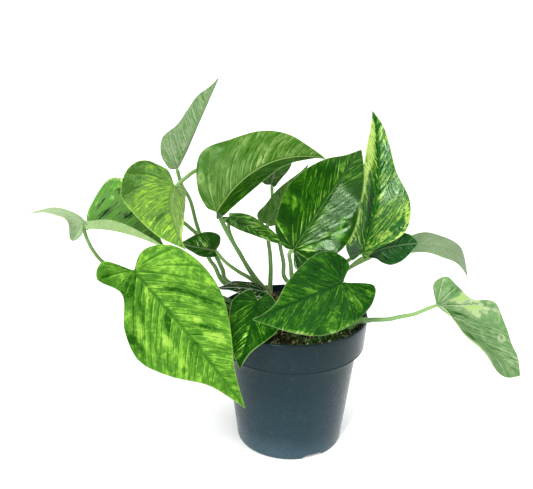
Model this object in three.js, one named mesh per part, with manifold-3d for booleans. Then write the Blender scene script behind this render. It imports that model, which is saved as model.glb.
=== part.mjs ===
// Potted pothos: a round nursery pot filled with soil, with leafy vines that stand in it.
// Millimetres, +Z up, origin at the centre of the pot's base, +Y away from the viewer.

import * as THREE from 'three';
import { mergeVertices } from 'three/addons/utils/BufferGeometryUtils.js';
import Module from 'manifold-3d';

// Pot
const POT_HEIGHT = 108;
const POT_BASE_RADIUS = 42.6;
const POT_BODY_RADIUS = 52.8;
const POT_RIM_RADIUS = 60;
const RIM_BAND_HEIGHT = 25.4;
const RIM_BAND_TAPER = 1.8;
const POT_WALL = 1.5;
const POT_FLOOR = 2;
const POT_SIDES = 32;
const GROOVE_INNER_RADIUS = 31;
const GROOVE_OUTER_RADIUS = 40;
const GROOVE_RISE = 5;
const GROOVE_DRAFT = 0.6;
const BAND_STEP = 0.2;
const BAND_EDGE_IN = 1;
const BAND_EDGE_UP = 1.4;
const LIP_BEVEL = 0.8;
const FOOT_NOTCH_WIDTH = 19;
const FOOT_NOTCH_TOP_WIDTH = 13;
const FOOT_NOTCH_HEIGHT = 3;
const FOOT_NOTCH_COUNT = 3;
const FOOT_NOTCH_FIRST_DEG = -63;
const DRAIN_HOLE_RADIUS = 3;
const DRAIN_HOLE_COUNT = 6;
const DRAIN_HOLE_SIDES = 8;
const POT_CUT_MARGIN = 4;

// Soil
const SOIL_LEVEL = 102;
const SOIL_RELIEF = 1.2;

// Gap between pieces that touch
const GAP = 0.3;

// Joined stems have no detail below this
const SMALLEST_EDGE = 0.02;

// Blades and stems
const BLADE_THICKNESS = 0.9;
const LARGE_BLADE = { columns: 14, rows: [0, 0.3, 0.65, 1] };
const SMALL_BLADE = { columns: 11, rows: [0, 0.45, 1] };
const LARGE_FROM_LENGTH = 60;
const PETIOLE_RADIUS = 2.1;
const PETIOLE_NECK_RADIUS = 1.5;
const PETIOLE_SIDES = 6;
const PETIOLE_STEP = 13;
const STEM_SIDES = 8;
const STEM_STEP = 7;

// Half widths are given at these shares of the blade's length, with the lobes behind the petiole first
const STATIONS = [-0.07, 0.06, 0.22, 0.4, 0.58, 0.75, 0.88];
const LOBE_REACH = 0.12;

// Rows of a blade leave the midrib from this share on, bow back like veins, and ripple towards the margin
const FIRST_VEIN = 0.08;
const VEIN_BOW = 0.18;
const MARGIN_RIPPLES = 3;
const RIPPLE_SHIFT = 1.7;

// Each vine is a rooted stem, from its lower end in the soil to its growing tip
const VINES = [
  { name: 'vine_left', stem: [[-30, -12, 80], [-32, -13, 100], [-33, -13, 119]], radii: [3.4, 2.8] },
  { name: 'vine_middle', stem: [[-13, 7, 80], [-16, 6, 104], [-21, 4, 128]], radii: [3.8, 3.2] },
  { name: 'vine_front', stem: [[3, -9, 80], [3, -10, 100], [2, -11, 124]], radii: [3, 2.6] },
  { name: 'vine_right', stem: [[9, 14, 80], [8, 14, 102], [5, 14, 124]], radii: [3.2, 2.6] },
  {
    name: 'vine_far_right',
    stem: [[43, -17, 84], [43, -17, 95], [46, -18, 104.5], [52, -20, 111], [61, -22, 113]],
    radii: [2.4, 2],
  },
];

// A blade runs from base, where its petiole ends, to tip, and face is the way its upper side looks.
// left and right are half widths at the stations, seen on the upper side with the tip up.
// arch lifts the midrib, sway bends it to the right, and rise folds each half up in degrees.
// lobe adds to rise at the base lobes, and tipRise at the tip.
// back scales how far each lobe reaches behind the petiole, and wave is the height of the margin's ripples.
// petiole runs from inside the stem to the blade.
const LEAVES = [
  {
    name: 'leaf_front_left', base: [-107, -78, 169], tip: [-30, -96, 77], face: [-0.1, -0.85, 0.5],
    left: [22, 33, 38, 35.5, 25, 12, 5], right: [27.5, 18, 31, 36.5, 27, 11.7, 4.8],
    arch: 3, sway: -2, rise: [8, 8], lobe: [0, 40], back: [0.4, 1.16], wave: 0.8,
    vine: 'vine_left', petiole: [[-33, -13, 112], [-50, -29, 124], [-74, -48, 146], [-95, -66, 168]],
  },
  {
    name: 'leaf_front_small', base: [-25, -48, 137], tip: [-35, -82, 99], face: [0.2, -0.7, 0.8],
    left: [13, 18, 20, 18, 12, 4.8, 1.6], right: [12, 17.5, 18, 16.6, 13.6, 9.9, 6],
    arch: 11, rise: [-6, -6], back: [1.75, 1.75], wave: 0.4,
    vine: 'vine_left', petiole: [[-33, -14, 114], [-31, -28, 128]],
  },
  {
    name: 'leaf_front_right', base: [35, -53, 155], tip: [-26, -94, 143], face: [0, -0.9, 0.8],
    left: [22, 28, 29.8, 29.8, 26, 17.7, 8.5], right: [20.5, 25.4, 25, 20.9, 14.5, 5, 1.4],
    arch: 5, sway: -2, rise: [0, 16], back: [2.65, 1.6], wave: 0.6,
    vine: 'vine_front', petiole: [[2, -11, 118], [20, -14, 140], [35, -33, 156]],
  },
  {
    name: 'leaf_middle', base: [0, -30, 171], tip: [48, 0, 240], face: [-0.2, -1, 0.3],
    left: [9, 19.3, 25, 28.6, 25, 17, 7], right: [17, 24, 30, 29.5, 23.5, 16.5, 9],
    arch: 6, rise: [10, 4], back: [0.2, 1], wave: 0.6,
    vine: 'vine_front', petiole: [[2, -11, 120], [-1, -12, 143], [-2, -20, 156], [-3, -27, 167]],
  },
  {
    name: 'leaf_narrow', base: [-51, 17, 180], tip: [-7, -2, 164], face: [0.1, -0.05, 1],
    left: [10, 16, 18.5, 17.5, 14.2, 10, 6], right: [9, 12.5, 12, 11, 9, 5, 2.5],
    rise: [2, 2], back: [0.6, 0.6], wave: 0.4,
    vine: 'vine_middle', petiole: [
      [-20, 5, 122], [-36, 8, 141], [-42, 12, 151], [-48, 15, 160], [-52, 17, 171],
    ],
  },
  {
    name: 'leaf_tall_left', base: [-95.5, 40, 213], tip: [-63, 52, 284], face: [0.05, 1, -0.15],
    left: [9, 17, 21, 17, 13, 9, 4], right: [9, 17.4, 21.5, 15, 12.3, 9.5, 3.8],
    rise: [95, 5], back: [0.3, 0.3], wave: 0.4,
    vine: 'vine_middle', petiole: [
      [-18, 7, 116], [-55, 22, 121], [-66, 40, 130], [-71, 46, 134],
      [-82, 52, 162], [-87, 50, 184], [-93, 44, 199],
    ],
  },
  {
    name: 'leaf_top', base: [-58, -10, 192], tip: [23, 20, 228], face: [-0.2, -0.6, 1],
    left: [11, 23.5, 37.5, 32, 27, 18.7, 9.2], right: [10, 20, 28, 30, 24, 14, 6],
    arch: 16, sway: -6, rise: [28, 28], back: [0.1, 0.25], wave: 0.8,
    vine: 'vine_middle', petiole: [[-20, 4, 122], [-31, -2, 138], [-41, -5, 157], [-52, -9, 178]],
  },
  {
    name: 'leaf_behind_middle', base: [-22, 27, 173], tip: [10, 43, 218], face: [0.2, 0.9, 0.4],
    left: [3, 8, 15, 15, 11, 6, 2], right: [8, 12, 10.5, 10, 7.5, 4, 1.6],
    arch: 2, rise: [10, 40], back: [0.3, 0.3], wave: 0.3,
    vine: 'vine_middle', petiole: [[-18, 6, 119], [-18, 14, 140], [-19, 19, 151], [-21, 24, 162]],
  },
  {
    name: 'leaf_behind_top', base: [-20, 60, 197], tip: [-10, 74, 230], face: [-0.2, -1, 0.2],
    left: [7, 11, 14, 13, 10, 6, 3], right: [4, 5.5, 8.5, 12, 12.5, 8, 3],
    arch: 4, rise: [10, 10], back: [0.3, 0.3], wave: 0.3,
    vine: 'vine_right', petiole: [
      [5, 14, 120], [-7, 14, 132], [-8, 22, 141], [-11, 32, 151], [-15, 46, 170], [-19, 56, 186],
    ],
  },
  {
    name: 'leaf_left', base: [-168, 25, 165], tip: [-92, -43, 174], face: [0, 0, 1],
    left: [26, 41, 43.5, 41, 31, 18, 7], right: [7, 12, 15, 19, 21, 18, 9],
    arch: 4, rise: [58, 38], tipRise: [-10, 12], back: [0.5, 0.3], wave: 0.6,
    vine: 'vine_middle', petiole: [
      [-18, 7, 114], [-54, 20, 125], [-59, 36, 129], [-71, 54, 141],
      [-108, 60, 170], [-144, 50, 178], [-166, 36, 173],
    ],
  },
  {
    name: 'leaf_upper_left', base: [-92, 5, 207], tip: [-72, -75, 184], face: [0, -0.3, 0.95],
    left: [16, 22.5, 24, 22.5, 18, 11.5, 4.5], right: [24, 35, 37, 33.5, 26.6, 18.4, 11],
    arch: 6, sway: 6, rise: [-70, 10], lobe: [0, 30], back: [2.2, 1.8], wave: 0.8,
    vine: 'vine_middle', petiole: [
      [-20, 5, 120], [-36, 12, 140], [-43, 20, 148], [-56, 34, 165],
      [-68, 40, 192], [-76, 30, 214], [-86, 12, 211],
    ],
  },
  {
    name: 'leaf_far_left', base: [-157, -23, 185], tip: [-195, -29, 192], face: [0, 0, 1],
    left: [15, 15, 12, 11, 9, 6, 3], right: [6, 9, 10, 9, 7, 4, 2],
    arch: 6, rise: [0, 0], lobe: [-60, 0], wave: 0.3,
    vine: 'vine_left', petiole: [
      [-33, -12, 112], [-60, -6, 123], [-110, -2, 131], [-145, -10, 148], [-152, -17, 161], [-155, -20, 171],
    ],
  },
  {
    name: 'leaf_shaded', base: [-65, 40, 144], tip: [-96, 30, 153], face: [0, -1, 0.3],
    left: [5, 6, 7, 7, 5, 3, 1], right: [11, 14, 15, 14, 11, 6, 2],
    arch: 3, rise: [10, 10], back: [0.5, 0.5], wave: 0.3,
    vine: 'vine_middle', petiole: [[-19, 6, 118], [-32, 12, 129], [-45, 24, 132], [-57, 36, 136]],
  },
  {
    name: 'leaf_tall_right', base: [53, 0, 160], tip: [56, 18, 266], face: [-0.1, -1, 0.1],
    left: [12, 20, 19, 19, 16.3, 11.8, 5.5], right: [5, 9, 26, 25.5, 13.5, 9, 6],
    arch: 6, sway: 8, rise: [45, 12], back: [0.5, 0.4], wave: 0.6,
    vine: 'vine_right', petiole: [[6, 14, 118], [28, 6, 138], [44, 2, 153]],
  },
  {
    name: 'leaf_under_right', base: [60, 25, 149], tip: [95, -5, 170], face: [0, -0.6, 0.8],
    left: [5, 7, 8.4, 9.3, 9.6, 9.2, 6.5], right: [2, 3.5, 7, 13.2, 16.8, 14.6, 8.5],
    arch: 3, rise: [30, -10], back: [0.3, 0.2], wave: 0.3,
    vine: 'vine_right', petiole: [[6, 14, 116], [28, 15, 128], [43, 18, 138], [54, 23, 146]],
  },
  {
    name: 'leaf_drooping_right', base: [90, 40, 148], tip: [148, 50, 120], face: [0.3, -0.3, 1],
    left: [10, 13.5, 15.6, 13, 12.5, 13, 8], right: [3, 5, 7.5, 12.8, 13, 10.5, 6],
    arch: 20, rise: [10, -10], wave: 0.4,
    vine: 'vine_right', petiole: [[6, 14, 115], [28, 22, 126], [50, 28, 139], [74, 37, 147]],
  },
  {
    name: 'leaf_far_right', base: [109, -22, 127], tip: [174, -34, 76], face: [0.4, -0.8, 0.5],
    left: [23, 22, 20.8, 30.5, 23, 14, 9.5], right: [8, 18, 27, 27, 24, 18, 11],
    arch: 3, rise: [10, 52], lobe: [0, 20], tipRise: [0, -35], back: [1.1, 0.15], wave: 0.5,
    vine: 'vine_far_right', petiole: [
      [52, -20, 111], [61, -22, 113], [74, -22, 114], [81, -22, 116], [93, -22, 119], [101, -22, 123],
    ],
  },
  {
    name: 'leaf_low_shaded', base: [-22, -20, 133], tip: [-58, -32, 139], face: [0, 0, 1],
    left: [12, 15, 16, 15, 12, 6, 3], right: [12, 15, 16, 15, 12, 6, 3],
    arch: 2, rise: [0, 0], wave: 0.3,
    vine: 'vine_left', petiole: [[-32, -12, 116], [-20, -10, 127]],
  },
];

// Colours by look: fresh lime blades, shaded ones, and the paler undersides that some blades show
const LEAF_COLORS = {
  leaf_front_left: 0x4f9e1e,
  leaf_front_small: 0x2f7d22,
  leaf_front_right: 0x2c6e22,
  leaf_middle: 0x3f8a30,
  leaf_narrow: 0x3a7a35,
  leaf_tall_left: 0x7fae62,
  leaf_top: 0x4f9a22,
  leaf_behind_middle: 0x5f8f4e,
  leaf_behind_top: 0x2f5a22,
  leaf_left: 0x4b9a35,
  leaf_upper_left: 0x63ad27,
  leaf_far_left: 0x9cd08c,
  leaf_shaded: 0x1f5a1c,
  leaf_tall_right: 0x4c9430,
  leaf_under_right: 0x1f4f1c,
  leaf_drooping_right: 0x8ab86a,
  leaf_far_right: 0x6db02c,
  leaf_low_shaded: 0x17401a,
};
const PETIOLE_COLOR = 0x8fb765;
const POT_COLOR = 0x3f535e;
const SOIL_COLOR = 0x2b211a;

const wasm = await Module();
wasm.setup();

const vec = (point) => new THREE.Vector3(...point);
const rad = THREE.MathUtils.degToRad;
const clamp = THREE.MathUtils.clamp;

// 0 at from, 1 at to, smooth between, also where from is the larger
function ease(from, to, x) {
  const t = clamp((x - from) / (to - from), 0, 1);
  return t * t * (3 - 2 * t);
}

function toSolid(geometry) {
  const bare = geometry.clone();
  bare.deleteAttribute('normal');
  bare.deleteAttribute('uv');
  const merged = mergeVertices(bare, 1e-3);
  return new wasm.Manifold(new wasm.Mesh({
    numProp: 3,
    vertProperties: new Float32Array(merged.attributes.position.array),
    triVerts: new Uint32Array(merged.index.array),
  }));
}

function toGeometry(solid) {
  const mesh = solid.getMesh();
  const geometry = new THREE.BufferGeometry();
  geometry.setAttribute('position', new THREE.BufferAttribute(mesh.vertProperties, 3));
  geometry.setIndex(new THREE.BufferAttribute(mesh.triVerts, 1));
  geometry.computeVertexNormals();
  return geometry;
}

function geometryFrom(vertices, faces) {
  const geometry = new THREE.BufferGeometry();
  const position = new THREE.Float32BufferAttribute(vertices.flatMap((v) => v.toArray()), 3);
  geometry.setAttribute('position', position);
  geometry.setIndex(faces.flat());
  geometry.computeVertexNormals();
  return geometry;
}

function part(name, geometry, color, roughness) {
  const mesh = new THREE.Mesh(geometry, new THREE.MeshStandardMaterial({ color, roughness, metalness: 0 }));
  mesh.name = name;
  return mesh;
}

// Catmull-Rom through points given as [x, y], at share w of the way along
function along(points, w) {
  const last = points.length - 1;
  const place = clamp(w, 0, 1) * last;
  const i = Math.min(Math.floor(place), last - 1);
  const t = place - i;
  return [0, 1].map((k) => {
    const b = points[i][k];
    const c = points[i + 1][k];
    const a = i > 0 ? points[i - 1][k] : 2 * b - c;
    const d = i < last - 1 ? points[i + 2][k] : 2 * c - b;
    const cubic = (3 * b - 3 * c + d - a) * t ** 3;
    return 0.5 * (2 * b + (c - a) * t + (2 * a - 5 * b + 4 * c - d) * t * t + cubic);
  });
}

// Half of a blade's outline as [half width, share of length], from the base round its lobe to the tip
function halfOutline(widths, back) {
  const lobe = [[0, 0], [0.5 * widths[0], -LOBE_REACH * back], [widths[0], STATIONS[0] * back]];
  const side = STATIONS.slice(1).map((share, i) => [widths[i + 1], share]);
  return [...lobe, ...side, [0, 1]];
}

// A blade's middle surface, by point(side, w, v): side is 0 left or 1 right, w runs along the outline,
// and v runs out from the midrib
function bladeSurface(leaf) {
  const { arch = 0, sway = 0, rise, lobe = [0, 0], tipRise = [0, 0], back = [1, 1], wave } = leaf;
  const base = vec(leaf.base);
  const ahead = vec(leaf.tip).sub(base);
  const length = ahead.length();
  ahead.normalize();
  const up = vec(leaf.face).addScaledVector(ahead, -vec(leaf.face).dot(ahead)).normalize();
  const right = new THREE.Vector3().crossVectors(ahead, up);
  const outlines = [halfOutline(leaf.left, back[0]), halfOutline(leaf.right, back[1])];
  const evenOutline = halfOutline(leaf.left, 1);

  function frameAt(share) {
    const t = Math.max(share, 0);
    const lift = share < 0 ? 4 * arch * share : 4 * arch * t * (1 - t);
    const shift = share < 0 ? 4 * sway * share : 4 * sway * t * (1 - t);
    const origin = base.clone().addScaledVector(ahead, share * length).addScaledVector(up, lift);
    origin.addScaledVector(right, shift);
    const tangent = ahead.clone().multiplyScalar(length).addScaledVector(up, 4 * arch * (1 - 2 * t));
    tangent.addScaledVector(right, 4 * sway * (1 - 2 * t)).normalize();
    const normal = up.clone().addScaledVector(tangent, -up.dot(tangent)).normalize();
    return { origin, normal, across: new THREE.Vector3().crossVectors(tangent, normal) };
  }

  // Where on the midrib the column at w starts: the base for the lobes' columns
  const ribShare = (w) => clamp((along(evenOutline, w)[1] - FIRST_VEIN) / (1 - FIRST_VEIN), 0, 1);

  function point(side, w, v) {
    const [halfWidth, marginShare] = along(outlines[side], w);
    const rib = ribShare(w);
    const share = rib + (marginShare - rib) * v - VEIN_BOW * v * (1 - v) * Math.sin(Math.PI * rib);
    const { origin, normal, across } = frameAt(share);
    const bend = lobe[side] * ease(0.34, -0.12, share) + tipRise[side] * ease(0.4, 1, share);
    const fold = rad(rise[side] + bend);
    const out = v * halfWidth;
    const phase = 2 * Math.PI * MARGIN_RIPPLES * w + RIPPLE_SHIFT * side;
    const ripple = wave * Math.sin(phase) * v * v * Math.sqrt(Math.sin(Math.PI * w));
    origin.addScaledVector(across, (side === 0 ? -1 : 1) * out * Math.cos(fold));
    return origin.addScaledVector(normal, out * Math.sin(fold) + ripple);
  }

  return { point, ribShare, length, up };
}

// The surface as a triangulated sheet, whose halves share the midrib.
// Its boundary runs base, left, tip, right.
function bladeSheet(leaf) {
  const surface = bladeSurface(leaf);
  const { columns, rows } = surface.length > LARGE_FROM_LENGTH ? LARGE_BLADE : SMALL_BLADE;
  const lastRow = rows.length - 1;
  const vertices = [];
  const add = (point) => vertices.push(point) - 1;
  const baseVertex = add(surface.point(0, 0, 0));
  const tipVertex = add(surface.point(0, 1, 0));
  const midrib = [baseVertex];
  for (let i = 1; i < columns; i++) {
    midrib.push(surface.ribShare(i / columns) > 0 ? add(surface.point(0, i / columns, 0)) : baseVertex);
  }
  // The lobes' columns fan out from the base, so their first row is left out
  const column = (side, i) => rows.map((v, j) => {
    const fan = midrib[i] === baseVertex;
    return j === 0 || i === 0 || (fan && j === 1) ? midrib[i] : add(surface.point(side, i / columns, v));
  });
  const halves = [0, 1].map((side) => [...midrib.map((_, i) => column(side, i)), rows.map(() => tipVertex)]);
  const faces = [];
  const addFace = (a, b, c) => {
    if (a !== b && b !== c && c !== a) faces.push([a, b, c]);
  };
  halves.forEach((half, side) => {
    for (let i = 0; i < columns; i++) {
      for (let j = 0; j < lastRow; j++) {
        const quad = [half[i][j], half[i + 1][j], half[i + 1][j + 1], half[i][j + 1]];
        if (side === 1) quad.reverse();
        const [a, b, c, d] = quad;
        if (vertices[a].distanceTo(vertices[c]) < vertices[b].distanceTo(vertices[d])) {
          addFace(a, b, c);
          addFace(a, c, d);
        } else {
          addFace(a, b, d);
          addFace(b, c, d);
        }
      }
    }
  });
  const [left, right] = halves.map((half) => half.slice(1, columns).map((each) => each[lastRow]));
  return { vertices, faces, boundary: [baseVertex, ...left, tipVertex, ...right.reverse()] };
}

function sheetNormals({ vertices, faces }) {
  const normals = vertices.map(() => new THREE.Vector3());
  for (const [a, b, c] of faces) {
    const ab = vertices[b].clone().sub(vertices[a]);
    const ac = vertices[c].clone().sub(vertices[a]);
    const area = ab.cross(ac);
    for (const corner of [a, b, c]) normals[corner].add(area);
  }
  return normals.map((normal) => normal.normalize());
}

// A closed blade, larger all round by clearance
function bladeGeometry(leaf, clearance = 0) {
  const sheet = bladeSheet(leaf);
  const { vertices, faces, boundary } = sheet;
  const normals = sheetNormals(sheet);
  const moved = vertices.map((vertex) => vertex.clone());
  boundary.forEach((vertex, k) => {
    const before = vertices[boundary[(k + boundary.length - 1) % boundary.length]];
    const after = vertices[boundary[(k + 1) % boundary.length]];
    const outward = normals[vertex].clone().cross(after.clone().sub(before)).normalize();
    // The base lies in the narrow corner between the lobes, so it moves further than the margin
    moved[vertex].addScaledVector(outward, k === 0 ? 3 * clearance : clearance);
  });
  const halfThickness = BLADE_THICKNESS / 2 + clearance;
  const count = vertices.length;
  const top = moved.map((vertex, i) => vertex.clone().addScaledVector(normals[i], halfThickness));
  const bottom = moved.map((vertex, i) => vertex.clone().addScaledVector(normals[i], -halfThickness));
  const solidFaces = [...faces, ...faces.map(([a, b, c]) => [a + count, c + count, b + count])];
  boundary.forEach((p, k) => {
    const q = boundary[(k + 1) % boundary.length];
    solidFaces.push([q + count, p + count, p], [q + count, p, q]);
  });
  return geometryFrom([...top, ...bottom], solidFaces);
}

// A closed tapered tube along a smooth curve, with domed ends
function taperedTube(points, startRadius, endRadius, sides, step) {
  const curve = new THREE.CatmullRomCurve3(points);
  const steps = Math.max(3, Math.round(curve.getLength() / step));
  const { tangents, normals, binormals } = curve.computeFrenetFrames(steps, false);
  const rings = [];
  for (let i = 0; i <= steps; i++) {
    rings.push({ at: i, radius: THREE.MathUtils.lerp(startRadius, endRadius, i / steps), offset: 0 });
  }
  rings.unshift({ at: 0, radius: 0.6 * startRadius, offset: -0.4 * startRadius });
  rings.push({ at: steps, radius: 0.6 * endRadius, offset: 0.4 * endRadius });
  const vertices = [];
  for (const { at, radius, offset } of rings) {
    const centre = curve.getPointAt(at / steps).addScaledVector(tangents[at], offset);
    for (let k = 0; k < sides; k++) {
      const angle = (2 * Math.PI * k) / sides;
      const spoke = normals[at].clone().multiplyScalar(Math.cos(angle) * radius);
      vertices.push(spoke.addScaledVector(binormals[at], Math.sin(angle) * radius).add(centre));
    }
  }
  const faces = [];
  for (let i = 0; i < rings.length - 1; i++) {
    for (let k = 0; k < sides; k++) {
      const a = i * sides + k;
      const b = i * sides + ((k + 1) % sides);
      faces.push([a, b, b + sides], [a, b + sides, a + sides]);
    }
  }
  const lastRing = (rings.length - 1) * sides;
  for (let k = 1; k < sides - 1; k++) {
    faces.push([0, k + 1, k], [lastRing, lastRing + k, lastRing + k + 1]);
  }
  return geometryFrom(vertices, faces);
}

// The petiole's path, ending just under the blade where its midrib starts
function petiolePath(leaf) {
  const { up } = bladeSurface(leaf);
  return [...leaf.petiole.map(vec), vec(leaf.base).addScaledVector(up, -PETIOLE_NECK_RADIUS)];
}

function vineSolid(vine) {
  let solid = toSolid(taperedTube(vine.stem.map(vec), ...vine.radii, STEM_SIDES, STEM_STEP));
  for (const leaf of LEAVES.filter((each) => each.vine === vine.name)) {
    const path = petiolePath(leaf);
    const tube = taperedTube(path, PETIOLE_RADIUS, PETIOLE_NECK_RADIUS, PETIOLE_SIDES, PETIOLE_STEP);
    solid = solid.add(toSolid(tube));
  }
  for (const leaf of LEAVES) solid = solid.subtract(toSolid(bladeGeometry(leaf, GAP)));
  // Slivers of petiole that a blade cuts off are dropped, once rounding has parted them
  const bodies = toSolid(toGeometry(solid.simplify(SMALLEST_EDGE))).decompose();
  return bodies.reduce((largest, body) => (body.volume() > largest.volume() ? body : largest));
}

// A closed ring or disc of revolution about +Z from [radius, height] points
function turned(profile) {
  const points = profile.map(([radius, height]) => new THREE.Vector2(radius, height));
  return new THREE.LatheGeometry(points, POT_SIDES).rotateX(Math.PI / 2);
}

const RIM_BOTTOM = POT_HEIGHT - RIM_BAND_HEIGHT;
const RIM_LOW_RADIUS = POT_RIM_RADIUS - RIM_BAND_TAPER;
const INNER_FLOOR = GROOVE_RISE + POT_FLOOR;
const WALL_SLOPE = (POT_BODY_RADIUS - POT_BASE_RADIUS) / RIM_BOTTOM;
const INNER_FLOOR_RADIUS = POT_BASE_RADIUS + WALL_SLOPE * INNER_FLOOR - POT_WALL;

// The pot's inside, from the axis outward and up, moved in by inset
function innerProfile(inset) {
  return [
    [0, POT_FLOOR + inset],
    [GROOVE_INNER_RADIUS - POT_WALL - inset, POT_FLOOR + inset],
    [GROOVE_INNER_RADIUS + GROOVE_DRAFT - POT_WALL - inset, INNER_FLOOR + inset],
    [INNER_FLOOR_RADIUS - inset, INNER_FLOOR + inset],
    [POT_BODY_RADIUS - POT_WALL - inset, RIM_BOTTOM - POT_WALL],
    [RIM_LOW_RADIUS - POT_WALL - inset, RIM_BOTTOM + POT_WALL],
  ];
}

function potSolid() {
  const outside = [
    [0, 0],
    [GROOVE_INNER_RADIUS, 0],
    [GROOVE_INNER_RADIUS + GROOVE_DRAFT, GROOVE_RISE],
    [GROOVE_OUTER_RADIUS - GROOVE_DRAFT, GROOVE_RISE],
    [GROOVE_OUTER_RADIUS, 0],
    [POT_BASE_RADIUS, 0],
    [POT_BODY_RADIUS, RIM_BOTTOM + BAND_STEP],
    [RIM_LOW_RADIUS - BAND_EDGE_IN, RIM_BOTTOM],
    [RIM_LOW_RADIUS, RIM_BOTTOM + BAND_EDGE_UP],
    [POT_RIM_RADIUS, POT_HEIGHT - LIP_BEVEL],
    [POT_RIM_RADIUS - LIP_BEVEL, POT_HEIGHT],
    [POT_RIM_RADIUS - POT_WALL, POT_HEIGHT - LIP_BEVEL],
  ];
  let solid = toSolid(turned([...outside, ...innerProfile(0).reverse()]));

  // The notch goes on below the foot, at the same slope, so that its cut is clean
  const below = 1;
  const notchDepth = POT_BASE_RADIUS - GROOVE_OUTER_RADIUS + 2 * POT_CUT_MARGIN;
  const slope = (FOOT_NOTCH_WIDTH - FOOT_NOTCH_TOP_WIDTH) / 2 / FOOT_NOTCH_HEIGHT;
  const halfLow = FOOT_NOTCH_WIDTH / 2 + slope * below;
  const notchShape = new THREE.Shape();
  notchShape.moveTo(-halfLow, -below);
  notchShape.lineTo(halfLow, -below);
  notchShape.lineTo(FOOT_NOTCH_TOP_WIDTH / 2, FOOT_NOTCH_HEIGHT);
  notchShape.lineTo(-FOOT_NOTCH_TOP_WIDTH / 2, FOOT_NOTCH_HEIGHT);
  for (let k = 0; k < FOOT_NOTCH_COUNT; k++) {
    const notch = new THREE.ExtrudeGeometry(notchShape, { depth: notchDepth, bevelEnabled: false });
    notch.rotateX(Math.PI / 2).rotateZ(Math.PI / 2).translate(GROOVE_OUTER_RADIUS - POT_CUT_MARGIN, 0, 0);
    notch.rotateZ(rad(FOOT_NOTCH_FIRST_DEG + (360 * k) / FOOT_NOTCH_COUNT));
    solid = solid.subtract(toSolid(notch));
  }
  const holeRing = (GROOVE_INNER_RADIUS + GROOVE_OUTER_RADIUS) / 2;
  const holeLength = 4 * POT_FLOOR;
  for (let k = 0; k < DRAIN_HOLE_COUNT; k++) {
    const angle = (2 * Math.PI * k) / DRAIN_HOLE_COUNT;
    const radius = DRAIN_HOLE_RADIUS;
    const hole = new THREE.CylinderGeometry(radius, radius, holeLength, DRAIN_HOLE_SIDES);
    hole.rotateX(Math.PI / 2).translate(holeRing, 0, GROOVE_RISE + POT_FLOOR / 2).rotateZ(angle);
    solid = solid.subtract(toSolid(hole));
  }
  return solid;
}

// Height of the soil's loose surface over its level
function soilRelief(x, y) {
  const wide = Math.sin(x * 0.23 + 1.1) * Math.cos(y * 0.19 - 0.6);
  const slanting = 0.5 * Math.sin(x * 0.11 - y * 0.31 + 2);
  return (SOIL_RELIEF * (wide + slanting)) / 1.5;
}

function soilSolid() {
  const side = innerProfile(GAP);
  const [lowRadius, lowHeight] = side.at(-1);
  // The rim band widens upward, and the soil stays inside it where its surface dips
  const edgeRadius = lowRadius + (RIM_BAND_TAPER * (SOIL_LEVEL - SOIL_RELIEF - lowHeight)) / RIM_BAND_HEIGHT;
  const top = [1, 0.75, 0.4].map((share) => [edgeRadius * share, SOIL_LEVEL]);
  const geometry = turned([...side, ...top, [0, SOIL_LEVEL]]);
  const position = geometry.attributes.position;
  for (let i = 0; i < position.count; i++) {
    if (position.getZ(i) > SOIL_LEVEL - 0.01) {
      position.setZ(i, SOIL_LEVEL + soilRelief(position.getX(i), position.getY(i)));
    }
  }
  let solid = toSolid(geometry);
  for (const { stem, radii } of VINES) {
    const hole = taperedTube(stem.map(vec), radii[0] + GAP, radii[1] + GAP, STEM_SIDES, STEM_STEP);
    solid = solid.subtract(toSolid(hole));
  }
  return solid;
}

const group = new THREE.Group();
group.add(part('pot', toGeometry(potSolid()), POT_COLOR, 0.5));
group.add(part('soil', toGeometry(soilSolid()), SOIL_COLOR, 1));
for (const vine of VINES) {
  group.add(part(vine.name, toGeometry(vineSolid(vine)), PETIOLE_COLOR, 0.45));
}
for (const leaf of LEAVES) {
  group.add(part(leaf.name, bladeGeometry(leaf), LEAF_COLORS[leaf.name], 0.35));
}

export default group;
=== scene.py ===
import math

import bmesh
import bpy
import numpy as np
from mathutils import Matrix, Quaternion, Vector


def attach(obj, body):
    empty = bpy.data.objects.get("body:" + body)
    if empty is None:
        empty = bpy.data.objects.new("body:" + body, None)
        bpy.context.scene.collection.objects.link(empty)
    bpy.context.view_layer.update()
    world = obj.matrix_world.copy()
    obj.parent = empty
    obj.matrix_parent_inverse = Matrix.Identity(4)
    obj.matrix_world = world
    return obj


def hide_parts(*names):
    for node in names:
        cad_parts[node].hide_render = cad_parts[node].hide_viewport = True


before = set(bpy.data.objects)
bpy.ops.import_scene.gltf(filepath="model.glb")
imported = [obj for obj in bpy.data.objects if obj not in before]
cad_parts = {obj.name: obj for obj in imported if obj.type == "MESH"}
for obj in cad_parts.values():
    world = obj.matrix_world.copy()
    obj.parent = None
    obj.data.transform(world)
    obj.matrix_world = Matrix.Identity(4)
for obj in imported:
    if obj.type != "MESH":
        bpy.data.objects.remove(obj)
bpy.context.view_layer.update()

MM = 0.001

# Camera, fitted to the photograph, in millimetres
LENS_MM, SENSOR_MM = 50, 36
CAMERA_AT = (0, -541, 347)
CAMERA_AIM = (-21, 0, 164)
CAMERA_ROLL_DEG = -0.87

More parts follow.
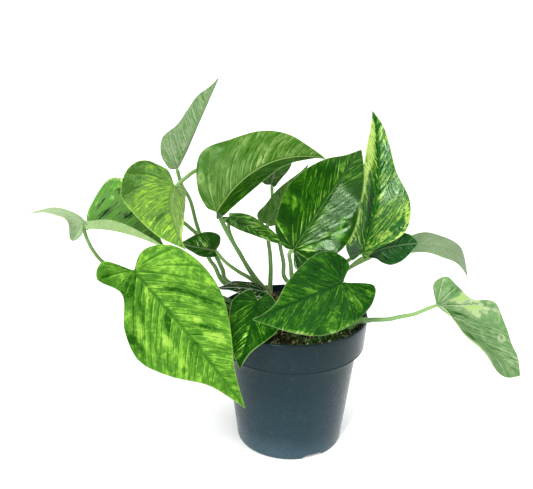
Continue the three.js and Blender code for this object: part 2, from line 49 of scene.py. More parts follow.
# Studio light: a white world, brighter near the horizon, which ends within a band of heights on the unit
# sphere, and far lamps by the way towards them, strength and spread in degrees. The window is a tall strip of
# small lamps, from its head to its foot.
WORLD_LIGHT, HORIZON_LIGHT = 0.62, 1.0
HORIZON_BAND = (0.1, 0.25)
LAMPS = (
    ("top", (0.1, -0.15, 1), 2.8, 80),
    ("right", (0.9, -0.35, 0.5), 0.7, 40),
)
WINDOW_HEAD, WINDOW_FOOT, WINDOW_LAMPS = (-0.16, -0.64, 0.75), (-0.46, -0.88, 0.02), 8
WINDOW_LIGHT, WINDOW_SPREAD_DEG = 3.2, 5
FLOOR_REACH_M = 150

# Blade outline: half widths are given at these shares of the length, the lobes behind the petiole first
STATIONS = (-0.07, 0.06, 0.22, 0.4, 0.58, 0.75, 0.88)
LOBE_REACH = 0.12
FIRST_VEIN = 0.08
VEIN_BOW = 0.18
MARGIN_RIPPLES = 3
RIPPLE_SHIFT = 1.7
NECK_RADIUS = 1.5
PETIOLE_RADIUS = 2.1

# Finer blades than the solids: columns run from the midrib to the margin, and rows along it, a little
# closer together near the margin
COLUMNS, ROWS, ROW_POWER = 120, 34, 0.9
BLADE_THICKNESS = 0.55
RIB_HALF_WIDTH, RIB_RISE = 1.8, 0.35
BLADE_GLOSS = (0.65, 0.9, 0.55, 1)

# Side veins leave the midrib at a slant, lean over towards the tip, and fan round the lobes from the base
VEIN_LEAN = 0.4
FAN_SPREAD_MM = 14
VEIN_SPACING_MM = 6
VEIN_WANDER_MM, VEIN_WANDER_RATE = 0.9, 0.37

# Streaks along the side veins, by width and length in mm and detail, and how far they wander across them
STREAKS = {
    "fine": (1.3, 10, 3), "middling": (4.5, 15, 2), "flecks": (2.2, 9, 4), "darks": (2.8, 10, 4),
    "threads": (1.7, 8, 2),
}
STREAK_WANDER_MM = 8
RING_WIDTH_MM, BAND_FADE = 0.9, 0.04

# Each vine's stem by its points and its radii at foot and head. A stem has a few node rings, and some
# vines are paler than the others.
VINES = {
    "vine_left": ([(-30, -12, 80), (-32, -13, 100), (-33, -13, 119)], (3.4, 2.8)),
    "vine_middle": ([(-13, 7, 80), (-16, 6, 104), (-21, 4, 128)], (3.8, 3.2)),
    "vine_front": ([(3, -9, 80), (3, -10, 100), (2, -11, 124)], (3, 2.6)),
    "vine_right": ([(9, 14, 80), (8, 14, 102), (5, 14, 124)], (3.2, 2.6)),
    "vine_far_right": (
        [(43, -17, 84), (43, -17, 95), (46, -18, 104.5), (52, -20, 111), (61, -22, 113)],
        (2.4, 2),
    ),
}
NODES_A_STEM = 3
PALE_VINES = {"vine_front": 0.6, "vine_right": 0.35, "vine_far_right": 0.8}

# How each blade looks. tones are its deepest, main, lime and palest colours, and under is its lower side's.
# level places the blade among its tones, from 0 deep to 1 pale, and halves shifts its left and right half.
# streak, flecks, darks and threads are how far soft streaks, light flecks, dark flecks and fine threads swing
# it, and fineness is the share of the finest streaks among the soft ones. veins, fan, crease, rib and
# margin are how far the light veins, those near the petiole, the painted shade in the creases beside the
# veins and the midrib, the midrib and the margin show. quilt is how far the blade swells between veins and
# relief the height of its fine relief, in mm, and crackle is the share of fine grain in it. slant is how far
# its side veins lean towards the tip, and blotch how far spots that don't follow them show. rough is how
# rough its gloss is, and shine how strong.
# Each patch, band and ring starts with its side, 0 left or 1 right, and ends with its shift of the level.
# A patch has its share of the length and of the half width, and its mm across the veins and along them.
# A band along the margin has the shares of the length where it starts and ends, and its width in mm.
# A ring has its share of the length and of the half width, and its radius in mm.
PLAIN_LEAF = dict(
    arch=0, sway=0, lobe=(0, 0), tip_rise=(0, 0), back=(1, 1),
    level=0.42, halves=(0, 0), streak=2.0, flecks=0.2, darks=0.16, threads=0.12, veins=0.12, fan=0.15,
    crease=0.12, rib=0.2, margin=0.3, quilt=0.35, rough=0.42, shine=0.06, crackle=0.3, slant=0.8, blotch=0.08,
    fineness=0.36, relief=0.3, under="#5d8f4a #a9c98f", patches=(), bands=(), rings=(),
)

# The blades: their shapes as the solids have them, in millimetres and degrees, and then their looks
LEAVES = {
    "front_left": dict(
        base=(-107, -78, 169), tip=(-30, -96, 77), face=(-0.1, -0.85, 0.5),
        left=(22, 33, 38, 35.5, 25, 12, 5), right=(27.5, 18, 31, 36.5, 27, 11.7, 4.8),
        arch=3, sway=-2, rise=(8, 8), lobe=(0, 40), back=(0.4, 1.16), wave=0.8,
        vine="vine_left", petiole=[(-33, -13, 112), (-50, -29, 124), (-74, -48, 146), (-95, -66, 168)],
        tones="#154002 #39671a #6c9a30 #86a642", level=0.46, crease=0.16, veins=0.07, rib=0, quilt=0.95,
        streak=1.4, flecks=0.08, darks=0.08, threads=0.03, blotch=0.12, fineness=0.24,
        patches=(
            (1, -0.06, 0.6, 14, 16, -0.06), (0, 0.55, 0.8, 6, 14, 0.12), (1, 0.27, 0.97, 24, 6, -0.3),
            (1, 0.05, 0.42, 8, 12, -0.26), (1, 0.22, 0.5, 2.5, 7, -0.4), (1, 0.34, 0.18, 2.5, 8, -0.36),
            (1, 0.53, 0.1, 3, 9, -0.4), (0, 0.24, 0.37, 3, 12, -0.35), (0, 0.39, 0.71, 2.5, 9, -0.35),
            (0, 0.48, 0.42, 2.5, 9, -0.42), (0, 0.15, 0.13, 2, 6, 0.35),
            (1, 0.14, 0.13, 2.5, 9, 0.3), (1, 0.27, 0.71, 4, 8, 0.3), (1, 0.41, 0.39, 3.5, 5, 0.35),
            (0, 0.42, 0.28, 2.5, 5, 0.4), (0, 0.56, 0.5, 3, 8, 0.3), (1, 0.42, 0.83, 8, 14, 0.15),
            (1, 0.62, 0.77, 8, 12, 0.15), (0, 0.1, 0.63, 5, 16, 0.1), (1, 0.84, 0.62, 4, 9, -0.1),
        ),
    ),
    "front_small": dict(
        base=(-25, -48, 137), tip=(-35, -82, 99), face=(0.2, -0.7, 0.8),
        left=(13, 18, 20, 18, 12, 4.8, 1.6), right=(12, 17.5, 18, 16.6, 13.6, 9.9, 6),
        arch=11, rise=(-6, -6), back=(1.75, 1.75), wave=0.4,
        vine="vine_left", petiole=[(-33, -14, 114), (-31, -28, 128)],
        tones="#042602 #0f3e02 #5c9226 #b0d878", level=0.37, rib=0, veins=0.04, slant=1.2,
        streak=1.3, flecks=0.05, threads=0.05, fineness=0.46,
        patches=(
            (1, 0, 0.9, 7, 12, -0.12), (1, 0.57, 0.2, 4, 12, 0.16), (0, 0.46, 0.52, 3, 8, 0.16),
            (1, 0.79, 0.37, 5, 8, 0.16), (1, 0.37, 0.74, 5, 8, 0.1), (0, 0.1, 0.5, 12, 12, -0.1),
        ),
    ),
    "front_right": dict(
        base=(35, -53, 155), tip=(-26, -94, 143), face=(0, -0.9, 0.8),
        left=(22, 28, 29.8, 29.8, 26, 17.7, 8.5), right=(20.5, 25.4, 25, 20.9, 14.5, 5, 1.4),
        arch=5, sway=-2, rise=(0, 16), back=(2.65, 1.6), wave=0.6,
        vine="vine_front", petiole=[(2, -11, 118), (20, -14, 140), (35, -33, 156)],
        tones="#042602 #0a3a02 #3e6e12 #7b9455", level=0.38, rib=0, crease=0.16, veins=0.04, slant=1.3,
        streak=1.6, flecks=0.12, fineness=0.48, shine=0.1, rough=0.2, relief=0.12,
        patches=(
            (1, 0.48, 0.68, 6, 18, -0.1), (1, 0.32, 0.07, 2.5, 6, 0.16),
            (0, 0.02, 0.45, 3, 9, 0.14), (0, 0.64, 0.06, 4, 10, -0.1),
            (1, -0.08, 0.71, 5, 10, -0.12), (0, 0.52, 0.37, 6, 8, 0.05), (1, 0.2, 0.5, 16, 16, -0.08),
        ),
        bands=((0, 0.1, 0.9, 2.4, 0.12),),
    ),
    "middle": dict(
        base=(0, -30, 171), tip=(48, 0, 240), face=(-0.2, -1, 0.3),
        left=(9, 19.3, 25, 28.6, 25, 17, 7), right=(17, 24, 30, 29.5, 23.5, 16.5, 9),
        arch=6, rise=(10, 4), back=(0.2, 1), wave=0.6,
        vine="vine_front", petiole=[(2, -11, 120), (-1, -12, 143), (-2, -20, 156), (-3, -27, 167)],
        tones="#082a02 #0f3502 #38680f #84a056", level=0.39, rib=0.04, fan=0.4, veins=0.03, slant=1.9,
        streak=2.2, flecks=0.08, darks=0.14, threads=0.06, fineness=0.2, blotch=0.05, quilt=0.12, shine=0.14,
        rough=0.08, crackle=0.4, relief=0.025,
        patches=(
            (0, 0.79, 0.41, 4, 18, 0.08), (1, 0.51, 0.13, 5, 16, -0.15),
            (1, 0.55, 0.6, 16, 24, -0.14), (1, 0.05, 0.3, 3, 6, 0.32), (1, 0.02, 0.75, 3, 5, 0.3),
            (1, 0.2, 0.6, 5, 9, 0.15), (1, -0.05, 0.55, 3, 6, -0.3), (1, 0.12, 0.72, 3, 7, -0.3),
            (0, 0.15, 0.66, 3, 20, -0.1), (1, 0.69, 0.66, 4, 9, -0.16),
        ),
    ),
    "narrow": dict(
        base=(-51, 17, 180), tip=(-7, -2, 164), face=(0.1, -0.05, 1),
        left=(10, 16, 18.5, 17.5, 14.2, 10, 6), right=(9, 12.5, 12, 11, 9, 5, 2.5),
        rise=(2, 2), back=(0.6, 0.6), wave=0.4,
        vine="vine_middle",
        petiole=[(-20, 5, 122), (-36, 8, 141), (-42, 12, 151), (-48, 15, 160), (-52, 17, 171)],
        tones="#042602 #1d5402 #7eb046 #a19793", rib=0.05,
        patches=((1, 0.19, 0.04, 4, 8, -0.25), (0, 0.57, 0.13, 3, 9, -0.2), (0, 0.34, 0.66, 3, 9, 0.15)),
    ),
    "tall_left": dict(
        base=(-95.5, 40, 213), tip=(-63, 52, 284), face=(0.05, 1, -0.15),
        left=(9, 17, 21, 17, 13, 9, 4), right=(9, 17.4, 21.5, 15, 12.3, 9.5, 3.8),
        rise=(95, 5), back=(0.3, 0.3), wave=0.4,
        vine="vine_middle", petiole=[
            (-18, 7, 116), (-55, 22, 121), (-66, 40, 130), (-71, 46, 134),
            (-82, 52, 162), (-87, 50, 184), (-93, 44, 199),
        ],
        tones="#2c5c1c #4c8030 #74a044 #9cc070", streak=0.9, flecks=0.05, darks=0.05,
        under="#31601a #818f72",
    ),
    "top": dict(
        base=(-58, -10, 192), tip=(23, 20, 228), face=(-0.2, -0.6, 1),
        left=(11, 23.5, 37.5, 32, 27, 18.7, 9.2), right=(10, 20, 28, 30, 24, 14, 6),
        arch=16, sway=-6, rise=(28, 28), back=(0.1, 0.25), wave=0.8,
        vine="vine_middle", petiole=[(-20, 4, 122), (-31, -2, 138), (-41, -5, 157), (-52, -9, 178)],
        # halves paints its right half darker: painted shade inside the fold of the blade
        tones="#042a02 #2e550c #607d3e #7e9355", halves=(0.04, -0.26), rib=0.6, crease=0.12, fan=0.22,
        veins=0.03, streak=1.5, flecks=0.03, darks=0.06, threads=0.04, blotch=0.02, fineness=0.3,
        shine=0.09, rough=0.2, relief=0.1, quilt=0.2, crackle=0.2, rings=((0, 0.13, 0.84, 2.4, 0.3),),
        patches=(
            (0, 0.41, 0.66, 5, 14, 0.1), (0, 0.5, 0.16, 4, 12, 0.2),
            (0, 0.1, 0.53, 4, 10, -0.05), (0, 0.81, 0.66, 6, 12, -0.05),
        ),
    ),
    "behind_middle": dict(
        base=(-22, 27, 173), tip=(10, 43, 218), face=(0.2, 0.9, 0.4),
        left=(3, 8, 15, 15, 11, 6, 2), right=(8, 12, 10.5, 10, 7.5, 4, 1.6),
        arch=2, rise=(10, 40), back=(0.3, 0.3), wave=0.3,
        vine="vine_middle", petiole=[(-18, 6, 119), (-18, 14, 140), (-19, 19, 151), (-21, 24, 162)],
        tones="#104004 #2f5c0c #4c7430 #88a468", under="#2a5216 #5a7a40",
    ),
    "behind_top": dict(
        base=(-20, 60, 197), tip=(-10, 74, 230), face=(-0.2, -1, 0.2),
        left=(7, 11, 14, 13, 10, 6, 3), right=(4, 5.5, 8.5, 12, 12.5, 8, 3),
        arch=4, rise=(10, 10), back=(0.3, 0.3), wave=0.3,
        vine="vine_right", petiole=[
            (5, 14, 120), (-7, 14, 132), (-8, 22, 141), (-11, 32, 151), (-15, 46, 170), (-19, 56, 186),
        ],
        tones="#305420 #304920 #476f39 #c6c8b6",
    ),
    "left": dict(
        base=(-168, 25, 165), tip=(-92, -43, 174), face=(0, 0, 1),
        left=(26, 41, 43.5, 41, 31, 18, 7), right=(7, 12, 15, 19, 21, 18, 9),
        arch=4, rise=(58, 38), tip_rise=(-10, 12), back=(0.5, 0.3), wave=0.6,
        vine="vine_middle", petiole=[
            (-18, 7, 114), (-54, 20, 125), (-59, 36, 129), (-71, 54, 141),
            (-108, 60, 170), (-144, 50, 178), (-166, 36, 173),
        ],
        tones="#042d02 #507337 #3d8202 #a0b082", under="#7c9e58 #93ac76",
        patches=(
            (0, 0.19, 0.32, 5, 12, -0.35), (0, 0.23, 0.76, 5, 12, 0.08), (0, 0.51, 0.45, 5, 12, -0.25),
        ),
        bands=((0, -0.1, 0.7, 3.5, 0.32),),
    ),
    "upper_left": dict(
        base=(-92, 5, 207), tip=(-72, -75, 184), face=(0, -0.3, 0.95),
        left=(16, 22.5, 24, 22.5, 18, 11.5, 4.5), right=(24, 35, 37, 33.5, 26.6, 18.4, 11),
        arch=6, sway=6, rise=(-70, 10), lobe=(0, 30), back=(2.2, 1.8), wave=0.8,
        vine="vine_middle", petiole=[
            (-20, 5, 120), (-36, 12, 140), (-43, 20, 148), (-56, 34, 165),
            (-68, 40, 192), (-76, 30, 214), (-86, 12, 211),
        ],
        tones="#2f5016 #4b7131 #6f9728 #a9d151", level=0.48, halves=(0.15, 0), quilt=0.45,
        crease=0.2, slant=1,
        patches=(
            (1, 0.27, 0.9, 4, 9, -0.35), (1, 0.59, 0.34, 3, 7, -0.4), (1, 0.34, 0.45, 5, 12, 0.12),
            (1, 0.09, 0.87, 5, 12, -0.2), (1, -0.04, 0.7, 6, 12, -0.15), (0, 0.35, 0.55, 6, 10, 0.15),
            (1, 0.71, 0.89, 5, 9, 0.15),
        ),
        bands=((0, 0.2, 0.97, 4, 0.3),),
    ),
    "far_left": dict(
        base=(-157, -23, 185), tip=(-195, -29, 192), face=(0, 0, 1),
        left=(15, 15, 12, 11, 9, 6, 3), right=(6, 9, 10, 9, 7, 4, 2),
        arch=6, rise=(0, 0), lobe=(-60, 0), wave=0.3,
        vine="vine_left", petiole=[
            (-33, -12, 112), (-60, -6, 123), (-110, -2, 131),
            (-145, -10, 148), (-152, -17, 161), (-155, -20, 171),
        ],
        tones="#89a772 #889e76 #8fa57d #c0cb9d", streak=1.4,
    ),
    "shaded": dict(
        base=(-65, 40, 144), tip=(-96, 30, 153), face=(0, -1, 0.3),
        left=(5, 6, 7, 7, 5, 3, 1), right=(11, 14, 15, 14, 11, 6, 2),
        arch=3, rise=(10, 10), back=(0.5, 0.5), wave=0.3,
        vine="vine_middle", petiole=[(-19, 6, 118), (-32, 12, 129), (-45, 24, 132), (-57, 36, 136)],
        tones="#194404 #254a1b #639830 #c3cba4", level=0.32, flecks=0.05, threads=0.04, fineness=0.25,
        patches=((1, 0.36, 0.33, 3.5, 6, 0.4), (1, 0.5, 0.1, 3, 10, 0.2), (1, 0.19, 0.58, 5, 9, -0.1)),
    ),
    "tall_right": dict(
        base=(53, 0, 160), tip=(56, 18, 266), face=(-0.1, -1, 0.1),
        left=(12, 20, 19, 19, 16.3, 11.8, 5.5), right=(5, 9, 26, 25.5, 13.5, 9, 6),
        arch=6, sway=8, rise=(45, 12), back=(0.5, 0.4), wave=0.6,
        vine="vine_right", petiole=[(6, 14, 118), (28, 6, 138), (44, 2, 153)],
        tones="#042602 #044a02 #769635 #97ad5b", level=0.38, rib=0, veins=0.04, slant=1.5,
        fineness=0.4, blotch=0.06, quilt=0.15, shine=0.32, rough=0.1, crackle=0.4, relief=0.04,
        patches=(
            # The patch (0, 0, 0.5, 8, 8, -0.3) darkens the left lobe by the base: painted shade cast by the
            # middle blade
            (0, 0.38, 0.3, 24, 6, -0.3), (0, 0.75, 0.6, 26, 9, 0.2), (0, 0, 0.5, 8, 8, -0.3),
            (1, 0.12, 0.6, 10, 18, 0.1), (1, 0.87, 0.66, 4, 10, 0.2), (1, 0.73, 0.72, 3, 10, -0.12),
            (1, 0.38, 0.81, 4, 9, 0.1), (1, 0.5, 0.6, 10, 12, -0.06),
        ),
        bands=((0, 0.08, 0.62, 6, 0.42), (0, 0.6, 0.97, 8, 0.22), (1, 0.12, 0.4, 5, 0.2)),
    ),
    "under_right": dict(
        base=(60, 25, 149), tip=(95, -5, 170), face=(0, -0.6, 0.8),
        left=(5, 7, 8.4, 9.3, 9.6, 9.2, 6.5), right=(2, 3.5, 7, 13.2, 16.8, 14.6, 8.5),
        arch=3, rise=(30, -10), back=(0.3, 0.2), wave=0.3,
        vine="vine_right", petiole=[(6, 14, 116), (28, 15, 128), (43, 18, 138), (54, 23, 146)],
        tones="#042602 #20481f #4d744c #9fbf8b", level=0.34, streak=1.2, flecks=0.04, threads=0.03,
        veins=0.05, fineness=0.2,
    ),
    "drooping_right": dict(
        base=(90, 40, 148), tip=(148, 50, 120), face=(0.3, -0.3, 1),
        left=(10, 13.5, 15.6, 13, 12.5, 13, 8), right=(3, 5, 7.5, 12.8, 13, 10.5, 6),
        arch=20, rise=(10, -10), wave=0.4,
        vine="vine_right", petiole=[(6, 14, 115), (28, 22, 126), (50, 28, 139), (74, 37, 147)],
        tones="#5e6a51 #637855 #74836c #828e7e", streak=1, flecks=0.05, threads=0.03, veins=0.06,
        rib=0.1,
    ),
    "far_right": dict(
        base=(109, -22, 127), tip=(174, -34, 76), face=(0.4, -0.8, 0.5),
        left=(23, 22, 20.8, 30.5, 23, 14, 9.5), right=(8, 18, 27, 27, 24, 18, 11),
        arch=3, rise=(10, 52), lobe=(0, 20), tip_rise=(0, -35), back=(1.1, 0.15), wave=0.5,
        vine="vine_far_right", petiole=[
            (52, -20, 111), (61, -22, 113), (74, -22, 114), (81, -22, 116), (93, -22, 119), (101, -22, 123),
        ],
        tones="#043a07 #58794a #8f9d7a #829f59", level=0.4, streak=1.3, flecks=0.05, darks=0.08,
        threads=0.06, fineness=0.26, slant=2.4, rings=((0, 0.63, 0.57, 2.2, 0.3),),
        patches=(
            (0, -0.03, 0.59, 7, 10, -0.1), (0, 0.15, 0.75, 3, 8, 0.45), (0, 0.29, 0.66, 3, 6, 0.4),
            (0, 0.22, 0.27, 2.5, 10, -0.3),
            (1, 0.6, 0.24, 5, 10, -0.1), (1, 0.35, 0.59, 4, 9, -0.15),
        ),
        bands=((1, 0.04, 0.6, 6, 0.45),),
    ),
    "low_shaded": dict(
        base=(-22, -20, 133), tip=(-58, -32, 139), face=(0, 0, 1),
        left=(12, 15, 16, 15, 12, 6, 3), right=(12, 15, 16, 15, 12, 6, 3),
        arch=2, rise=(0, 0), wave=0.3,
        vine="vine_left", petiole=[(-32, -12, 116), (-20, -10, 127)],
        # Its near-black tones are painted shade, for a blade lying in deep shade behind the front blades
        tones="#042609 #042b02 #9a9881 #fdfdfd", level=0.3, shine=0, rough=0.6,
    ),
}


def srgb(text):
    """A hex colour as linear red, green, blue and 1."""
    channels = [int(text[k:k + 2], 16) / 255 for k in (1, 3, 5)]
    return tuple(c / 12.92 if c <= 0.04045 else ((c + 0.055) / 1.055) ** 2.4 for c in channels) + (1,)


def colour_of(value):
    return srgb(value) if isinstance(value, str) else value


def blend(a, b, share):
    return tuple(p + (q - p) * share for p, q in zip(a, b))


def unit(v):
    return v / np.linalg.norm(v, axis=-1, keepdims=True)


def ease(start, end, x):
    t = np.clip((x - start) / (end - start), 0, 1)
    return t * t * (3 - 2 * t)


def along(points, w):
    """Catmull-Rom through points, at shares w of the way along."""
    p = np.asarray(points, float)
    last = len(p) - 1
    place = np.clip(w, 0, 1) * last
    i = np.minimum(np.floor(place).astype(int), last - 1)
    t = (place - i)[..., None]
    b, c = p[i], p[i + 1]
    a = np.where((i > 0)[..., None], p[np.maximum(i - 1, 0)], 2 * b - c)
    d = np.where((i < last - 1)[..., None], p[np.minimum(i + 2, last)], 2 * c - b)
    cubic = (3 * b - 3 * c + d - a) * t ** 3
    return 0.5 * (2 * b + (c - a) * t + (2 * a - 5 * b + 4 * c - d) * t * t + cubic)


def half_outline(widths, back):
    lobe = [(0, 0), (0.5 * widths[0], -LOBE_REACH * back), (widths[0], STATIONS[0] * back)]
    return lobe + list(zip(widths[1:], STATIONS[1:])) + [(0, 1)]


class Blade:
    """A blade's middle surface, in millimetres, as the solids have it."""

    def __init__(self, leaf):
        self.leaf = PLAIN_LEAF | leaf
        self.base = np.array(leaf["base"], float)
        ahead = np.array(leaf["tip"], float) - self.base
        self.length = np.linalg.norm(ahead)
        self.ahead = ahead / self.length
        face = np.array(leaf["face"], float)
        self.up = unit(face - face @ self.ahead * self.ahead)
        self.right = np.cross(self.ahead, self.up)
        self.widths = leaf["left"], leaf["right"]
        self.outlines = [half_outline(*half) for half in zip(self.widths, self.leaf["back"])]
        self.even = half_outline(leaf["left"], 1)

    def rib_share(self, w):
        return np.clip((along(self.even, w)[..., 1] - FIRST_VEIN) / (1 - FIRST_VEIN), 0, 1)

    def frame_at(self, share):
        share = share[..., None]
        t = np.maximum(share, 0)
        curve = np.where(share < 0, 4 * share, 4 * t * (1 - t))
        bend = self.leaf["arch"] * self.up + self.leaf["sway"] * self.right
        origin = self.base + share * self.ahead * self.length + curve * bend
        tangent = unit(self.ahead * self.length + 4 * (1 - 2 * t) * bend)
        normal = unit(self.up - (tangent @ self.up)[..., None] * tangent)
        return origin, normal, np.cross(tangent, normal)

    def point(self, side, w, v):
        outline = along(self.outlines[side], w)
        half_width, margin_share = outline[..., 0], outline[..., 1]
        rib = self.rib_share(w)
        share = rib + (margin_share - rib) * v - VEIN_BOW * v * (1 - v) * np.sin(math.pi * rib)
        origin, normal, across = self.frame_at(share)
        leaf = self.leaf
        fold = leaf["rise"][side] + leaf["lobe"][side] * ease(0.34, -0.12, share)
        fold = np.radians(fold + leaf["tip_rise"][side] * ease(0.4, 1, share))
        out = v * np.maximum(half_width, 0)
        phase = 2 * math.pi * MARGIN_RIPPLES * w + RIPPLE_SHIFT * side
        ripple = leaf["wave"] * np.sin(phase) * v * v * np.sqrt(np.maximum(np.sin(math.pi * w), 0))
        sign = -1 if side == 0 else 1
        point = origin + (sign * out * np.cos(fold))[..., None] * across
        return point + (out * np.sin(fold) + ripple)[..., None] * normal, share, out, half_width

    def vein_at(self, side, share, out):
        """Where a spot's side vein leaves the midrib, below 0 in the fan, and its reach so far, in mm."""
        along_mm = share * self.length
        lean = self.leaf["slant"] + VEIN_LEAN * out / max(self.widths[side])
        turn = np.arctan2(out, along_mm) - np.arctan2(1, lean)
        start = np.where(turn > 0, -FAN_SPREAD_MM * turn, along_mm - lean * out)
        return start, np.hypot(out, along_mm - np.maximum(start, 0))

    def patch_centre(self, side, share, v):
        half_width = np.interp(share, STATIONS + (1,), self.widths[side] + (0,))
        return self.vein_at(side, share, v * half_width)


def add_face(faces, corners):
    """Adds a face with these corners, each that repeats the one before it left out."""
    face = [int(v) for k, v in enumerate(corners) if v != corners[k - 1]]
    if len(face) >= 3:
        faces.append(face)


def new_mesh(name, vertices, faces):
    mesh = bpy.data.meshes.new(name)
    mesh.from_pydata((np.asarray(vertices) * MM).tolist(), [], faces)
    mesh.validate()
    mesh.update()
    return mesh


def show(name, data):
    """A new object with this data, in the scene."""
    thing = bpy.data.objects.new(name, data)
    bpy.context.scene.collection.objects.link(thing)
    return thing


def add_piece(name, mesh, node, material):
    piece = show(name, mesh)
    mesh.materials.clear()
    mesh.materials.append(material)
    mesh.shade_smooth()
    if node:
        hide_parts(node)
    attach(piece, "root")
    return piece


def set_attribute(mesh, name, values):
    values = np.asarray(values, np.float32)
    kind = "FLOAT" if values.ndim == 1 else "FLOAT_VECTOR"
    layer = mesh.attributes.new(name, kind, "POINT")
    layer.data.foreach_set("value" if values.ndim == 1 else "vector", values.ravel())


def vertex_normals(vertices, faces):
    normals = np.zeros_like(vertices)
    for size in (3, 4):
        group = np.array([f for f in faces if len(f) == size])
        if len(group) == 0:
            continue
        first, second, third, last = (vertices[group[:, k]] for k in (0, 1, 2, -1))
        area = np.cross(third - first, last - second)
        for k in range(size):
            np.add.at(normals, group[:, k], area)
    return unit(normals + 1e-12)


class Field:
    """A node's output. Arithmetic on it adds Math nodes."""

    def __init__(self, shader, socket):
        self.shader, self.socket = shader, socket

    def math(self, operation, *others):
        return self.shader.node("Math", dict(enumerate((self, *others))), operation=operation)

    def __add__(self, other):
        return self.math("ADD", other)

    def __sub__(self, other):
        return self.math("SUBTRACT", other)

    def __mul__(self, other):
        return self.math("MULTIPLY", other)

    def __truediv__(self, other):
        return self.math("DIVIDE", other)

    def __abs__(self):
        return self.math("ABSOLUTE")

    def between(self, low, high, start=0.0, end=1.0):
        """This value from low to high as start to end, smooth and clamped."""
        inputs = {"Value": self, "From Min": low, "From Max": high, "To Min": start, "To Max": end}
        return self.shader.node("MapRange", inputs, interpolation_type="SMOOTHSTEP")


class Shader:
    """Short forms for building a node material."""

    def __init__(self, name):
        self.material = bpy.data.materials.new(name)
        self.material.use_nodes = True
        self.tree = self.material.node_tree
        self.tree.nodes.clear()
        self.place = self.node("TexCoord", output="Object")

    def node(self, kind, inputs=(), output=0, **settings):
        node = self.tree.nodes.new("ShaderNode" + kind)
        for key, value in settings.items():
            setattr(node, key, value)
        for key, value in dict(inputs).items():
            self.fill(node.inputs[key], value)
        return Field(self, node.outputs[output])

    def fill(self, socket, value):
        """Links a field into a socket, or sets the socket to a number, a vector or a hex colour."""
        if isinstance(value, Field):
            self.tree.links.new(value.socket, socket)
        else:
            socket.default_value = colour_of(value)

    def attribute(self, name, output="Fac"):
        return self.node("Attribute", output=output, attribute_name=name)

    def noise(self, scale, detail=2.0, roughness=0.5, stretch=None, distortion=0.0, at=None):
        at = at or self.place
        if stretch:
            at = self.node("Mapping", {"Vector": at, "Scale": stretch})
        inputs = {"Vector": at, "Scale": scale, "Detail": detail, "Roughness": roughness}
        return self.node("TexNoise", inputs | {"Distortion": distortion}, "Fac")

    def mix(self, share, a, b):
        return self.node("Mix", {0: share, 6: a, 7: b}, 2, data_type="RGBA")

    def ramp(self, share, *stops):
        colour = self.node("ValToRGB", {"Fac": share}, "Color")
        elements = colour.socket.node.color_ramp.elements
        while len(elements) < len(stops):
            elements.new(0.5)
        for element, (place, tone) in zip(elements, stops):
            element.position = place
            element.color = colour_of(tone)
        return colour

    def bump(self, height, strength, distance, **normal):
        inputs = {"Height": height, "Strength": strength, "Distance": distance}
        return self.node("Bump", inputs | normal, "Normal")

    def finish(self, **sockets):
        """The material, with its surface's sockets filled."""
        inputs = {key.replace("_", " "): value for key, value in sockets.items()}
        output = self.tree.nodes.new("ShaderNodeOutputMaterial")
        self.fill(output.inputs["Surface"], self.node("BsdfPrincipled", inputs))
        return self.material


